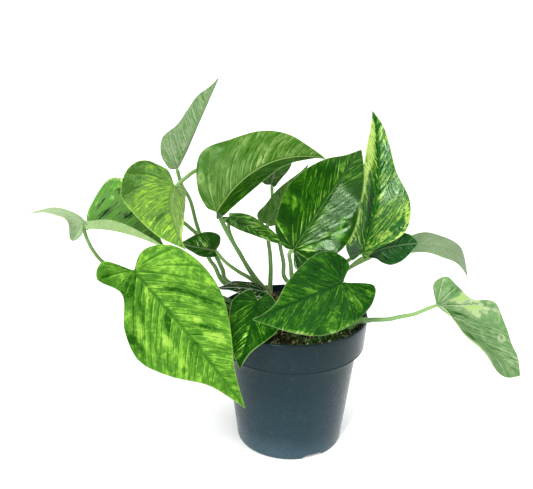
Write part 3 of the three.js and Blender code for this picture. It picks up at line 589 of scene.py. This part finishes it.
def blade_material(name, look, seed):
    s = Shader("blade_" + name)
    deep, main, lime, pale = (srgb(tone) for tone in look["tones"].split())
    low, high = look["under"].split()
    vein = s.attribute("vein", "Vector")
    start, reach, side = (s.node("SeparateXYZ", {0: vein}, axis) for axis in "XYZ")
    rib_mm, edge_mm, under = (s.attribute(name) for name in ("out_mm", "edge_mm", "under"))

    # Streaks, flecks and threads follow the side veins, and a mottle doesn't
    bent = start + (s.noise(90, 3, 0.6) - 0.5) * STREAK_WANDER_MM
    streaks = {}
    for layer, (kind, (width_mm, length_mm, detail)) in enumerate(STREAKS.items()):
        spot = {"X": bent / width_mm, "Y": reach / length_mm, "Z": side * 19 + (seed + 31 * layer)}
        streaks[kind] = s.noise(1, detail, 0.6, at=s.node("CombineXYZ", spot))
    fine = streaks["fine"]
    mottle = s.noise(170, 4, 0.65)
    mixed = fine * look["fineness"] + streaks["middling"] * (0.82 - look["fineness"]) + mottle * 0.18
    threads = abs(streaks["threads"] - 0.5).between(0.05, 0)
    level = s.attribute("level") + (mixed - 0.5) * look["streak"]
    level += streaks["flecks"].between(0.54, 0.63) * look["flecks"]
    level -= streaks["darks"].between(0.46, 0.37) * look["darks"]
    level += threads * look["threads"]
    level += s.noise(260, 3, 0.6).between(0.53, 0.6) * look["blotch"]

    # Patches shift the tone softly, and more inside a ragged edge
    patch = s.attribute("patch")
    ragged = (fine - 0.5) * 1.5 + mottle * 1.4 - 0.7
    lighter = (ragged + patch).between(0.14, 0.22, 0, 0.24) * patch.between(0.04, 0.14)
    darker = (ragged - patch).between(0.14, 0.22, 0, 0.24) * patch.between(-0.04, -0.14)
    level += patch * 0.6 + lighter - darker

    # Side veins are fine lines a little lighter than the blade, and the midrib is a wider one. Beside the
    # veins and along the midrib, a dark line of painted shade stands in for the shade in their creases
    from_line = (start / VEIN_SPACING_MM).math("FRACT") - 0.5
    inside = edge_mm.between(0.6, 4) * reach.between(0, 4)
    line = abs(from_line).between(0.1, 0.02) * inside
    crease_shade_line = abs(from_line + 0.13).between(0.13, 0.02) * inside
    rib = rib_mm.between(1, 0.3)
    level += line * (reach.between(30, 8, 0, look["fan"]) + look["veins"])
    level -= crease_shade_line.math("MAXIMUM", rib_mm.between(1.8, 0.4)) * look["crease"]
    upper = s.ramp(
        level, (0.12, deep), (0.3, blend(deep, main, 0.8)), (0.42, main), (0.54, blend(main, lime, 0.35)),
        (0.68, lime), (0.8, blend(lime, pale, 0.2)), (0.96, pale),
    )
    upper = s.mix(rib * look["rib"], upper, pale)
    upper = s.mix(edge_mm.between(0.6, 0.2) * look["margin"], upper, pale)
    lower = s.mix(level.between(0.15, 0.8), low, high)
    lower = s.mix(line.math("MAXIMUM", rib) * 0.5, lower, high)

    relief = fine * 0.7 + s.noise(620, 3, 0.6) * look["crackle"] + threads * 0.25 - line * 0.3
    rough = mottle.between(0.3, 0.7, look["rough"] - 0.05, look["rough"] + 0.07)
    return s.finish(
        Base_Color=s.mix(under, upper, lower), Roughness=rough + under * 0.2,
        Normal=s.bump(relief, 1, look["relief"] * MM),
        Specular_IOR_Level=look["shine"], Specular_Tint=BLADE_GLOSS,
    )


def blade_grid(blade, seed):
    """Spots on the middle surface, its faces, and the spots round its margin.

    A spot has its x, y and z, the start and reach of its side vein, its side, how far it is from the midrib
    and from the margin, and its share of the length.
    """
    w_of, v_of = np.linspace(0, 1, COLUMNS + 1), np.linspace(0, 1, ROWS + 1) ** ROW_POWER
    grid_w, grid_v = np.meshgrid(w_of, v_of, indexing="ij")
    halves = []
    for side in (0, 1):
        point, share, out, half_width = blade.point(side, grid_w, grid_v)
        start, reach = blade.vein_at(side, share, out)
        start += VEIN_WANDER_MM * np.sin(VEIN_WANDER_RATE * start + seed + side)
        edge = np.maximum(half_width, 0) * (1 - grid_v)
        halves.append(np.dstack([point, start, reach, np.full_like(out, side), out, edge, share]))
    spots = []

    def add(side, i, j):
        spots.append(halves[side][i, j])
        return len(spots) - 1

    base, tip = add(0, 0, 0), add(0, COLUMNS, 0)
    in_lobe = blade.rib_share(w_of) <= 0
    rib = [base if in_lobe[i] else add(0, i, 0) for i in range(COLUMNS)]
    index = np.full((2, COLUMNS + 1, ROWS + 1), tip)
    for side in (0, 1):
        for i in range(COLUMNS):
            index[side, i, 0] = rib[i]
            for j in range(1, ROWS + 1):
                joined = i == 0 or (j == 1 and in_lobe[i])
                index[side, i, j] = rib[i] if joined else add(side, i, j)
    faces = []
    for side, i, j in np.ndindex(2, COLUMNS, ROWS):
        quad = [*index[side, i:i + 2, j], *index[side, i:i + 2, j + 1][::-1]]
        add_face(faces, quad[::-1] if side else quad)
    margins = index[:, 1:COLUMNS, ROWS].tolist()
    return np.array(spots), faces, [base, *margins[0], tip, *reversed(margins[1])]


def blade_tones(blade, spots):
    """Each spot's level among the blade's tones, and what its patches and bands add up to there."""
    look = blade.leaf
    start, reach, side, out_mm, edge_mm, share = spots[:, 3:].T
    level = look["level"] + np.where(out_mm < 0.5, 0, np.take(look["halves"], side.astype(int)))
    patch = np.zeros(len(spots))
    for patch_side, at_share, v, across_mm, ahead_mm, amount in look["patches"]:
        at_start, at_reach = blade.patch_centre(patch_side, at_share, v)
        far = ((start - at_start) / across_mm) ** 2 + ((reach - at_reach) / ahead_mm) ** 2
        on_side = np.where(out_mm < 1.5, 0.5, side == patch_side)
        patch += amount * np.exp(-far) * on_side
    for band_side, from_share, to_share, width_mm, amount in look["bands"]:
        within = ease(from_share - BAND_FADE, from_share + BAND_FADE, share)
        within *= ease(to_share + BAND_FADE, to_share - BAND_FADE, share)
        within *= ease(width_mm, 0.5 * width_mm, edge_mm) * (side == band_side) * (out_mm > 0.5)
        patch += amount * within
    for ring_side, at_share, v, radius_mm, amount in look["rings"]:
        at_start, at_reach = blade.patch_centre(ring_side, at_share, v)
        unlike = np.abs(start - at_start) + np.abs(reach - at_reach) + 99 * (side != ring_side)
        away = np.linalg.norm(spots[:, :3] - spots[unlike.argmin(), :3], axis=1)
        level += amount * np.exp(-((away - radius_mm) / RING_WIDTH_MM) ** 2)
    return level, patch


def build_blade(name, leaf, seed):
    blade = Blade(leaf)
    look = blade.leaf
    spots, faces, boundary = blade_grid(blade, seed)
    vertices = spots[:, :3]
    start, reach, _, out_mm, edge_mm, _ = spots[:, 3:].T
    normals = vertex_normals(vertices, faces)

    # The lamina swells between its side veins, sinks along the midrib and thins towards the margin, and the
    # midrib stands out below, less so towards the tip
    swell = np.abs(np.sin(math.pi * (start / VEIN_SPACING_MM + 0.5))) ** 0.7 - 0.6
    inside = ease(1, 9, reach) * ease(0, 5, edge_mm)
    on_rib = RIB_RISE * ease(RIB_HALF_WIDTH, 0, out_mm)
    relief = look["quilt"] * swell * inside - on_rib
    middle = vertices + normals * relief[:, None]
    half = BLADE_THICKNESS / 2 * (0.55 + 0.45 * ease(0, 3, edge_mm))
    rib = on_rib * (1 - 0.7 * np.clip(start / blade.length, 0, 1))
    top = middle + normals * half[:, None]
    bottom = middle - normals * (half + rib)[:, None]
    count = len(spots)
    solid = faces + [[v + count for v in reversed(face)] for face in faces]
    for p, q in zip(boundary, boundary[1:] + boundary[:1]):
        solid.append([q + count, p + count, p, q])
    mesh = new_mesh("blade_" + name, np.vstack([top, bottom]), solid)

    level, patch = blade_tones(blade, spots)
    fields = {"vein": spots[:, 3:6], "out_mm": out_mm, "edge_mm": edge_mm, "level": level, "patch": patch}
    for field, values in fields.items():
        set_attribute(mesh, field, np.concatenate([values, values]))
    set_attribute(mesh, "under", np.repeat([0, 1], count))
    add_piece("blade_" + name, mesh, "leaf_" + name, blade_material(name, look, seed))


def smooth_path(points, step):
    """Centripetal Catmull-Rom through points, sampled about every step, with its tangents."""
    p = [np.array(q, float) for q in points]
    p = [2 * p[0] - p[1], *p, 2 * p[-1] - p[-2]]
    samples = []
    for a, b, c, d in zip(p, p[1:], p[2:], p[3:]):
        gaps = [max(np.linalg.norm(y - x) ** 0.5, 1e-4) for x, y in ((a, b), (b, c), (c, d))]
        t1 = (b - a) / gaps[0] - (c - a) / (gaps[0] + gaps[1]) + (c - b) / gaps[1]
        t2 = (c - b) / gaps[1] - (d - b) / (gaps[1] + gaps[2]) + (d - c) / gaps[2]
        t1, t2 = t1 * gaps[1], t2 * gaps[1]
        count = max(2, round(np.linalg.norm(c - b) / step))
        for t in np.arange(count) / count:
            h = (2 * t**3 - 3 * t * t + 1, t**3 - 2 * t * t + t, -2 * t**3 + 3 * t * t, t**3 - t * t)
            samples.append(h[0] * b + h[1] * t1 + h[2] * c + h[3] * t2)
    samples = np.array([*samples, p[-2]])
    return samples, unit(np.gradient(samples, axis=0))


class TubeMesh:
    """Closed tapered tubes gathered into one mesh.

    Every vertex has its share of the way along its tube, and its tube's kind: 0 for a petiole, 1 for a stem.
    """

    def __init__(self):
        self.vertices, self.faces, self.along, self.kind = [], [], [], []

    def add(self, points, radius_at, sides=16, step=2.0, kind=0.0, flat=0.0):
        path, tangents = smooth_path(points, step)
        side = unit(np.cross(tangents[0], (0.3, 0.2, 1.0)))
        count = len(path)
        start = len(self.vertices)
        for i, (centre, tangent) in enumerate(zip(path, tangents)):
            side = unit(side - side @ tangent * tangent)
            other = np.cross(tangent, side)
            share = i / (count - 1)
            radius = radius_at(share)
            cap = 0.55 if i in (0, count - 1) else 1.0
            for k in range(sides):
                angle = 2 * math.pi * k / sides
                squash = 1 - flat * max(math.sin(angle), 0) ** 3
                spoke = math.cos(angle) * side + math.sin(angle) * squash * other
                self.vertices.append(centre + radius * cap * spoke)
                self.along.append(share)
                self.kind.append(kind)
        for i in range(count - 1):
            for k in range(sides):
                a, b = start + i * sides + k, start + i * sides + (k + 1) % sides
                self.faces.append([a, b, b + sides, a + sides])
        self.faces.append([start + k for k in reversed(range(sides))])
        self.faces.append([start + (count - 1) * sides + k for k in range(sides)])

    def mesh(self, name):
        mesh = new_mesh(name, self.vertices, self.faces)
        set_attribute(mesh, "along", self.along)
        set_attribute(mesh, "kind", self.kind)
        return mesh


def stem_material():
    s = Shader("stem")
    share, kind, pale = (s.attribute(name) for name in ("along", "kind", "pale"))
    grain = s.noise(420, 3, 0.6, (1, 1, 0.25))
    stripes = s.noise(900, 2, 0.6, (1, 1, 0.06))
    cloud = s.noise(60)
    tone = grain * 0.3 + share * 0.62 + (stripes - 0.5) * 0.3
    dark_petiole = s.ramp(tone, (0.1, "#324c20"), (0.35, "#4c6c34"), (0.7, "#638449"), (1, "#7fa052"))
    pale_petiole = s.ramp(tone, (0.1, "#466a3e"), (0.35, "#62824f"), (0.7, "#78985c"), (1, "#93b05a"))
    stem = s.ramp((cloud + grain) * 0.5, (0.3, "#2f3418"), (0.5, "#4c5c2a"), (0.7, "#6c7440"))
    from_ring = abs((share * NODES_A_STEM).math("FRACT") - 0.5)
    stem = s.mix(from_ring.between(0.09, 0.02, 0, 0.8), stem, "#4a3420")
    stem = s.mix(pale * 0.75, stem, "#5f8d52")
    return s.finish(
        Base_Color=s.mix(kind, s.mix(pale, dark_petiole, pale_petiole), stem),
        Roughness=cloud.between(0.3, 0.7, 0.4, 0.55), Normal=s.bump(stripes, 0.5, 0.3 * MM),
        Specular_IOR_Level=0.2,
    )


def build_vines():
    material = stem_material()
    for vine, (stem, radii) in VINES.items():
        tubes = TubeMesh()

        def width(share):
            from_ring = (share * NODES_A_STEM) % 1 - 0.5
            return radii[0] + (radii[1] - radii[0]) * share + 0.35 * math.exp(-(from_ring * 9) ** 2)

        def taper(share):
            sheath = 0.7 * ease(0.12, 0, share)
            neck = 0.2 * ease(0.9, 1, share)
            return PETIOLE_RADIUS + (NECK_RADIUS - PETIOLE_RADIUS) * share + neck + sheath

        tubes.add(stem, width, sides=20, step=1.2, kind=1.0)
        for leaf in LEAVES.values():
            if leaf["vine"] == vine:
                blade = Blade(leaf)
                end = blade.base - blade.up * NECK_RADIUS * 0.75
                tubes.add([*leaf["petiole"], end], taper, flat=0.25)
        mesh = tubes.mesh(vine + "_stems")
        set_attribute(mesh, "pale", [PALE_VINES.get(vine, 0)] * len(tubes.vertices))
        add_piece(vine + "_stems", mesh, vine, material)


# The pot's section, as the solids have it, in millimetres and degrees
POT_HEIGHT, POT_BASE_RADIUS, POT_BODY_RADIUS, POT_RIM_RADIUS = 108, 42.6, 52.8, 60
RIM_BAND_HEIGHT, RIM_BAND_TAPER, POT_WALL, POT_FLOOR = 25.4, 1.8, 1.5, 2
GROOVE_INNER_RADIUS, GROOVE_OUTER_RADIUS, GROOVE_RISE, GROOVE_DRAFT = 31, 40, 5, 0.6
FOOT_NOTCH_WIDTH, FOOT_NOTCH_TOP_WIDTH, FOOT_NOTCH_HEIGHT = 19, 13, 3
FOOT_NOTCH_COUNT, FOOT_NOTCH_FIRST_DEG = 3, -63
DRAIN_HOLE_RADIUS, DRAIN_HOLE_COUNT = 3, 6
RIM_BOTTOM = POT_HEIGHT - RIM_BAND_HEIGHT
RIM_LOW_RADIUS = POT_RIM_RADIUS - RIM_BAND_TAPER
INNER_FLOOR = GROOVE_RISE + POT_FLOOR
WALL_SLOPE = (POT_BODY_RADIUS - POT_BASE_RADIUS) / RIM_BOTTOM
NOTCH_CUT_DEPTH, HOLE_CUT_DEPTH, CUT_MARGIN = 12, 8, 3
POT_SIDES, POT_SHARP_DEG = 144, 50
POT_GLOSS = (0.65, 0.92, 1, 1)

# The soil, with small waves in its top, and the loose bits on it
SOIL_LEVEL, SOIL_RELIEF, SOIL_GAP = 102, 1.2, 0.3
SOIL_SEED, SOIL_RINGS, SOIL_WAVES, WAVE_RISE = 7, 45, 14, 0.22
SOIL_REACH, LITTER_SHARP_DEG = 55, 40
CRUMB_COUNT, FIBRE_COUNT, MOSS_TUFTS = 1500, 560, 260


def inner_profile(inset):
    wall = POT_WALL + inset
    return [
        (0, POT_FLOOR + inset),
        (GROOVE_INNER_RADIUS - wall, POT_FLOOR + inset),
        (GROOVE_INNER_RADIUS + GROOVE_DRAFT - wall, INNER_FLOOR + inset),
        (POT_BASE_RADIUS + WALL_SLOPE * INNER_FLOOR - wall, INNER_FLOOR + inset),
        (POT_BODY_RADIUS - wall, RIM_BOTTOM - POT_WALL),
        (RIM_LOW_RADIUS - wall, RIM_BOTTOM + POT_WALL),
    ]


def arc(centre, radius, start, end, count):
    """Points of a circle's arc, from start to end in degrees."""
    angles = np.radians(np.linspace(start, end, count))
    return [(centre[0] + radius * math.cos(a), centre[1] + radius * math.sin(a)) for a in angles]


def turned(name, profile, sides):
    """A closed mesh of revolution about Z. The profile starts and ends on the axis."""
    vertices, faces, rings = [], [], []
    for radius, height in profile:
        if radius < 1e-6:
            rings.append([len(vertices)] * sides)
            vertices.append((0, 0, height))
            continue
        rings.append(list(range(len(vertices), len(vertices) + sides)))
        for k in range(sides):
            angle = 2 * math.pi * k / sides
            vertices.append((radius * math.cos(angle), radius * math.sin(angle), height))
    for low, high in zip(rings, rings[1:]):
        for k in range(sides):
            after = (k + 1) % sides
            add_face(faces, [low[k], low[after], high[after], high[k]])
    return new_mesh(name, vertices, faces)


def prism(name, outline, depth):
    """A closed prism: an outline of (y, z) points, drawn out along X from 0 to depth."""
    count = len(outline)
    vertices = [(x, y, z) for x in (0, depth) for y, z in outline]
    faces = [list(reversed(range(count))), list(range(count, 2 * count))]
    faces += [[k, (k + 1) % count, (k + 1) % count + count, k + count] for k in range(count)]
    return new_mesh(name, vertices, faces)


def cut(mesh, cutters):
    """mesh less the cutters, by Blender's exact boolean."""
    body = show("cut_body", mesh)
    things = [body]
    for cutter, matrix in cutters:
        things.append(show("cut_tool", cutter))
        things[-1].matrix_world = matrix
        modifier = body.modifiers.new("cut", "BOOLEAN")
        modifier.object = things[-1]
        modifier.operation = "DIFFERENCE"
        modifier.solver = "EXACT"
    graph = bpy.context.evaluated_depsgraph_get()
    result = bpy.data.meshes.new_from_object(body.evaluated_get(graph))
    for thing in things:
        bpy.data.objects.remove(thing)
    return result


def pot_material():
    s = Shader("pot")
    height = s.node("SeparateXYZ", {0: s.place}, "Z")
    cloud = s.noise(28, 3, 0.55)
    # The pot is painted lighter towards its foot and darker towards its rim. This is painted light, for the
    # light thrown up from the white floor, and a soft cloud varies the tone
    tone = height / (POT_HEIGHT * MM) + (cloud - 0.5) * 0.25
    colour = s.ramp(tone, (0, "#34464f"), (0.2, "#1b2c34"), (0.55, "#0f2026"), (1, "#08161a"))
    colour = s.mix(s.noise(900, 2, 0.7).between(0.7, 0.78) * 0.35, colour, "#8d9ba0")
    dust = s.noise(260, 4, 0.65)
    colour = s.mix(dust.between(0.55, 0.75) * 0.08, colour, "#6d7470")
    normal = s.bump(s.noise(3400), 0.05, 0.2 * MM, Normal=s.bump(cloud, 0.04, 2 * MM))
    from_ledge = abs(height - (RIM_BOTTOM + 0.5) * MM)
    rough = dust.between(0.3, 0.7, 0.24, 0.32) + from_ledge.between(2.4 * MM, 1.2 * MM, 0, 0.6)
    return s.finish(
        Base_Color=colour, Roughness=rough, Normal=normal, Specular_IOR_Level=0.22, Specular_Tint=POT_GLOSS,
    )


def outer_profile():
    outside = [
        (0, 0),
        (GROOVE_INNER_RADIUS - 0.5, 0),
        (GROOVE_INNER_RADIUS, 0.4),
        (GROOVE_INNER_RADIUS + GROOVE_DRAFT, GROOVE_RISE),
        (GROOVE_OUTER_RADIUS - GROOVE_DRAFT, GROOVE_RISE),
        (GROOVE_OUTER_RADIUS - 0.2, 0.4),
        (GROOVE_OUTER_RADIUS + 0.2, 0),
        (POT_BASE_RADIUS - 0.8, 0),
        (POT_BASE_RADIUS - 0.2, 0.3),
        (POT_BASE_RADIUS + 0.1, 0.9),
    ]
    outside += [(POT_BASE_RADIUS + WALL_SLOPE * z, z) for z in np.linspace(4, RIM_BOTTOM - 0.8, 12)]
    outside += [(POT_BODY_RADIUS + 0.4, RIM_BOTTOM - 0.1)]
    outside += arc((RIM_LOW_RADIUS - 2, RIM_BOTTOM + 2), 2, -90, 0, 7)
    for t in np.linspace(0, 1, 5)[1:-1]:
        outside.append((RIM_LOW_RADIUS + RIM_BAND_TAPER * t, RIM_BOTTOM + 2 + (RIM_BAND_HEIGHT - 3) * t))
    return outside + arc((POT_RIM_RADIUS - 0.9, POT_HEIGHT - 0.9), 0.9, 0, 180, 9)


def foot_cutters():
    """The tools that cut the foot notches and the drain holes, each with its place."""
    below = 1
    slope = (FOOT_NOTCH_WIDTH - FOOT_NOTCH_TOP_WIDTH) / 2 / FOOT_NOTCH_HEIGHT
    low, high = FOOT_NOTCH_WIDTH / 2 + slope * below, FOOT_NOTCH_TOP_WIDTH / 2
    trapezium = [(-low, -below), (low, -below), (high, FOOT_NOTCH_HEIGHT), (-high, FOOT_NOTCH_HEIGHT)]
    notch = prism("notch", trapezium, NOTCH_CUT_DEPTH)
    cutters = []
    for k in range(FOOT_NOTCH_COUNT):
        turn = Matrix.Rotation(math.radians(FOOT_NOTCH_FIRST_DEG + 360 * k / FOOT_NOTCH_COUNT), 4, "Z")
        cutters.append((notch, turn @ Matrix.Translation(((GROOVE_OUTER_RADIUS - 4) * MM, 0, 0))))
    hole = prism("hole", arc((0, 0), DRAIN_HOLE_RADIUS, 0, 345, 24), HOLE_CUT_DEPTH)
    ring = (GROOVE_INNER_RADIUS + GROOVE_OUTER_RADIUS) / 2
    place = Matrix.Translation((ring * MM, 0, (GROOVE_RISE - CUT_MARGIN) * MM))
    upright = Matrix.Rotation(math.radians(-90), 4, "Y")
    for k in range(DRAIN_HOLE_COUNT):
        cutters.append((hole, Matrix.Rotation(2 * math.pi * k / DRAIN_HOLE_COUNT, 4, "Z") @ place @ upright))
    return cutters


def build_pot():
    shell = turned("pot_shell", outer_profile() + inner_profile(0)[::-1], POT_SIDES)
    mesh = cut(shell, foot_cutters())
    add_piece("pot_moulded", mesh, "pot", pot_material())
    mesh.set_sharp_from_angle(angle=math.radians(POT_SHARP_DEG))


def soil_relief(x, y):
    lumps = np.sin(x * 0.23 + 1.1) * np.cos(y * 0.19 - 0.6) + 0.5 * np.sin(x * 0.11 - y * 0.31 + 2)
    return SOIL_RELIEF * lumps / 1.5


def soil_material():
    s = Shader("soil")
    grains = s.noise(700, 5, 0.7)
    fibres = s.noise(560, 3, 0.6, (1, 3, 3), 1.5)
    tone = grains * 0.6 + fibres * 0.4
    colour = s.ramp(tone, (0.35, "#0a0906"), (0.52, "#1c1810"), (0.7, "#443420"))
    green = s.noise(60, 3, 0.6).between(0.46, 0.58, 0, 0.75)
    return s.finish(
        Base_Color=s.mix(green, colour, "#0f200c"), Roughness=grains.between(0.3, 0.7, 0.85, 1),
        Normal=s.bump(tone, 0.9, 1.2 * MM), Specular_IOR_Level=0.1,
    )


def litter_material(name, *tones):
    """A material for many small bits, each with its own place among the tones."""
    s = Shader(name)
    grains = s.noise(1100, 3, 0.7)
    tone = (grains - 0.5) * 0.5 + s.attribute("shade")
    stops = [(k / (len(tones) - 1), colour) for k, colour in enumerate(tones)]
    return s.finish(
        Base_Color=s.ramp(tone, *stops), Roughness=grains.between(0.3, 0.7, 0.75, 0.95),
        Normal=s.bump(grains, 0.5, 0.3 * MM), Specular_IOR_Level=0.15,
    )


def on_soil(rng, low_radius, high_radius, angles=(0, 360)):
    """A seeded spot on the soil, in millimetres."""
    radius = math.sqrt(rng.uniform(low_radius ** 2, high_radius ** 2))
    angle = math.radians(rng.uniform(*angles))
    x, y = radius * math.cos(angle), radius * math.sin(angle)
    return np.array([x, y, SOIL_LEVEL + soil_relief(x, y)])


class Litter:
    """Many small closed bits gathered into one mesh, with a shade for each."""

    def __init__(self):
        self.vertices, self.faces, self.shades = [], [], []

    def add(self, vertices, faces, shade):
        first = len(self.vertices)
        self.vertices += list(vertices)
        self.faces += [[first + v for v in face] for face in faces]
        self.shades += [shade] * len(vertices)

    def finish(self, name, material):
        mesh = new_mesh(name, self.vertices, self.faces)
        set_attribute(mesh, "shade", self.shades)
        add_piece(name, mesh, None, material)
        mesh.set_sharp_from_angle(angle=math.radians(LITTER_SHARP_DEG))


def ball():
    """A small closed ball's points and faces."""
    shape = bmesh.new()
    bmesh.ops.create_icosphere(shape, subdivisions=1, radius=1)
    points = np.array([v.co[:] for v in shape.verts])
    faces = [[v.index for v in f.verts] for f in shape.faces]
    shape.free()
    return points, faces


def turn_at_random(rng):
    return np.array(Quaternion(unit(rng.normal(size=4))).to_matrix())


def build_crumbs(rng):
    points, faces = ball()
    crumbs = Litter()
    for _ in range(CRUMB_COUNT):
        size = rng.uniform(0.5, 1.9) * np.array([1, rng.uniform(0.5, 0.9), rng.uniform(0.4, 0.8)])
        lumpy = points * rng.uniform(0.7, 1.2, (len(points), 1)) * size
        at = on_soil(rng, 0, SOIL_REACH)
        shade = rng.uniform(0, 0.55) if rng.random() < 0.88 else rng.uniform(0.75, 1)
        crumbs.add(lumpy @ turn_at_random(rng).T + at + (0, 0, 0.3 * size[0]), faces, shade)
    material = litter_material("crumbs", "#0a0905", "#1b180e", "#33301c", "#67603f", "#a9a480")
    crumbs.finish("soil_crumbs", material)


def build_fibres(rng):
    fibres = TubeMesh()
    shades = []
    for _ in range(FIBRE_COUNT):
        at = on_soil(rng, 0, SOIL_REACH - 4)
        heading = rng.uniform(0, 2 * math.pi)
        lift = rng.uniform(0.3, 1.6)
        path = [at]
        for _ in range(4):
            heading += rng.normal(0, 0.6)
            step = rng.uniform(1.0, 2.6)
            x, y = path[-1][0] + step * math.cos(heading), path[-1][1] + step * math.sin(heading)
            if math.hypot(x, y) > SOIL_REACH:
                break
            path.append(np.array([x, y, SOIL_LEVEL + soil_relief(x, y) + lift * rng.uniform(0.2, 1)]))
        if len(path) < 3:
            continue
        radius = rng.uniform(0.12, 0.3)
        before = len(fibres.vertices)
        fibres.add(path, lambda share: radius * (1 - 0.6 * share), sides=5, step=1.2)
        shades += [rng.uniform(0, 1)] * (len(fibres.vertices) - before)
    mesh = new_mesh("soil_fibres", fibres.vertices, fibres.faces)
    set_attribute(mesh, "shade", shades)
    material = litter_material("fibres", "#2f1e10", "#6a4a2a", "#96835a", "#c4bd97")
    add_piece("soil_fibres", mesh, None, material)


def build_moss(rng):
    moss = Litter()
    faces = [[0, 1, 3], [1, 2, 3], [2, 0, 3], [2, 1, 0]]
    for _ in range(MOSS_TUFTS):
        angles = (-95, -10) if rng.random() < 0.7 else (0, 360)
        middle = on_soil(rng, 20, SOIL_REACH - 2, angles)
        shade = rng.uniform(0.1, 0.9)
        for _ in range(int(rng.integers(9, 18))):
            foot = middle + (rng.normal(0, 0.9), rng.normal(0, 0.9), 0)
            away = unit(np.array([rng.normal(0, 0.6), rng.normal(0, 0.6), 1.0]))
            across = unit(np.cross(away, (0.3, 0.9, 0.1)))
            other = np.cross(away, across)
            wide = rng.uniform(0.18, 0.34)
            corners = [
                foot + wide * (math.cos(a) * across + math.sin(a) * other) - 0.3 * away
                for a in (0, 2 * math.pi / 3, 4 * math.pi / 3)
            ]
            tip = foot + away * rng.uniform(1.0, 2.4)
            moss.add([*corners, tip], faces, float(np.clip(shade + rng.normal(0, 0.15), 0, 1)))
    moss.finish("soil_moss", litter_material("moss", "#0c2a0b", "#1a4a16", "#3c7a2a", "#76ac50"))


def build_soil():
    rng = np.random.default_rng(SOIL_SEED)
    side = inner_profile(SOIL_GAP)
    low_radius, low_height = side[-1]
    edge = low_radius + RIM_BAND_TAPER * (SOIL_LEVEL - SOIL_RELIEF - low_height) / RIM_BAND_HEIGHT
    profile = side + [(edge * share, SOIL_LEVEL) for share in np.linspace(1, 0, SOIL_RINGS + 1)]
    mesh = turned("soil_mound", profile, POT_SIDES)
    xyz = np.empty(len(mesh.vertices) * 3, np.float32)
    mesh.vertices.foreach_get("co", xyz)
    xyz = xyz.reshape(-1, 3) / MM
    top = xyz[:, 2] > SOIL_LEVEL - 0.01
    x, y = xyz[top, 0], xyz[top, 1]
    draws = rng.uniform(0.5, 2.4, (SOIL_WAVES, 4))
    waves = sum(np.sin(x * a + p) * np.sin(y * b + q) for a, b, p, q in draws)
    xyz[top, 2] = SOIL_LEVEL + soil_relief(x, y) + WAVE_RISE * waves
    mesh.vertices.foreach_set("co", (xyz * MM).ravel())
    mesh.update()
    add_piece("soil_mound", mesh, "soil", soil_material())
    build_crumbs(rng)
    build_fibres(rng)
    build_moss(rng)


def build_light():
    world = bpy.data.worlds.new("studio")
    world.use_nodes = True
    tree = world.node_tree
    background = tree.nodes["Background"]
    background.inputs["Color"].default_value = (1, 1, 1, 1)
    way = tree.nodes.new("ShaderNodeTexCoord")
    split = tree.nodes.new("ShaderNodeSeparateXYZ")
    fall = tree.nodes.new("ShaderNodeMapRange")
    for place, value in enumerate((*HORIZON_BAND, HORIZON_LIGHT, WORLD_LIGHT), 1):
        fall.inputs[place].default_value = value
    tree.links.new(way.outputs["Generated"], split.inputs[0])
    tree.links.new(split.outputs["Z"], fall.inputs["Value"])
    tree.links.new(fall.outputs[0], background.inputs["Strength"])
    bpy.context.scene.world = world
    head, foot = Vector(WINDOW_HEAD), Vector(WINDOW_FOOT)
    lamps = list(LAMPS)
    for k in range(WINDOW_LAMPS):
        towards = head.lerp(foot, k / (WINDOW_LAMPS - 1))
        lamps.append((f"window_{k}", towards, WINDOW_LIGHT / WINDOW_LAMPS, WINDOW_SPREAD_DEG))
    for name, towards, strength, spread_deg in lamps:
        lamp = bpy.data.lights.new(name, "SUN")
        lamp.energy = strength
        lamp.angle = math.radians(spread_deg)
        show(name, lamp).rotation_euler = (-Vector(towards)).to_track_quat("-Z", "Y").to_euler()


def build_floor():
    s = Shader("floor")
    colour = s.ramp(s.noise(3), (0.3, (0.93, 0.93, 0.93, 1)), (0.7, (0.96, 0.96, 0.96, 1)))
    mesh = bpy.data.meshes.new("floor")
    corners = [(x * FLOOR_REACH_M, y * FLOOR_REACH_M, 0) for x, y in ((-1, -1), (1, -1), (1, 1), (-1, 1))]
    mesh.from_pydata(corners, [], [[0, 1, 2, 3]])
    mesh.materials.append(s.finish(Base_Color=colour, Roughness=0.9))
    floor = show("floor", mesh)


def build_camera():
    lens = bpy.data.cameras.new("camera")
    lens.lens = LENS_MM
    lens.sensor_fit = "HORIZONTAL"
    lens.sensor_width = SENSOR_MM
    lens.clip_start = 10 * MM
    camera = show("camera", lens)
    at, aim = Vector(CAMERA_AT) * MM, Vector(CAMERA_AIM) * MM
    turn = (aim - at).to_track_quat("-Z", "Y").to_matrix().to_4x4()
    roll = Matrix.Rotation(math.radians(-CAMERA_ROLL_DEG), 4, "Z")
    camera.matrix_world = Matrix.Translation(at) @ turn @ roll
    bpy.context.scene.camera = camera
    bpy.context.scene.view_settings.view_transform = "Standard"


build_camera()
build_light()
build_floor()
build_pot()
build_soil()
build_vines()
for number, (name, leaf) in enumerate(LEAVES.items()):
    build_blade(name, leaf, seed=3.7 * number + 1)
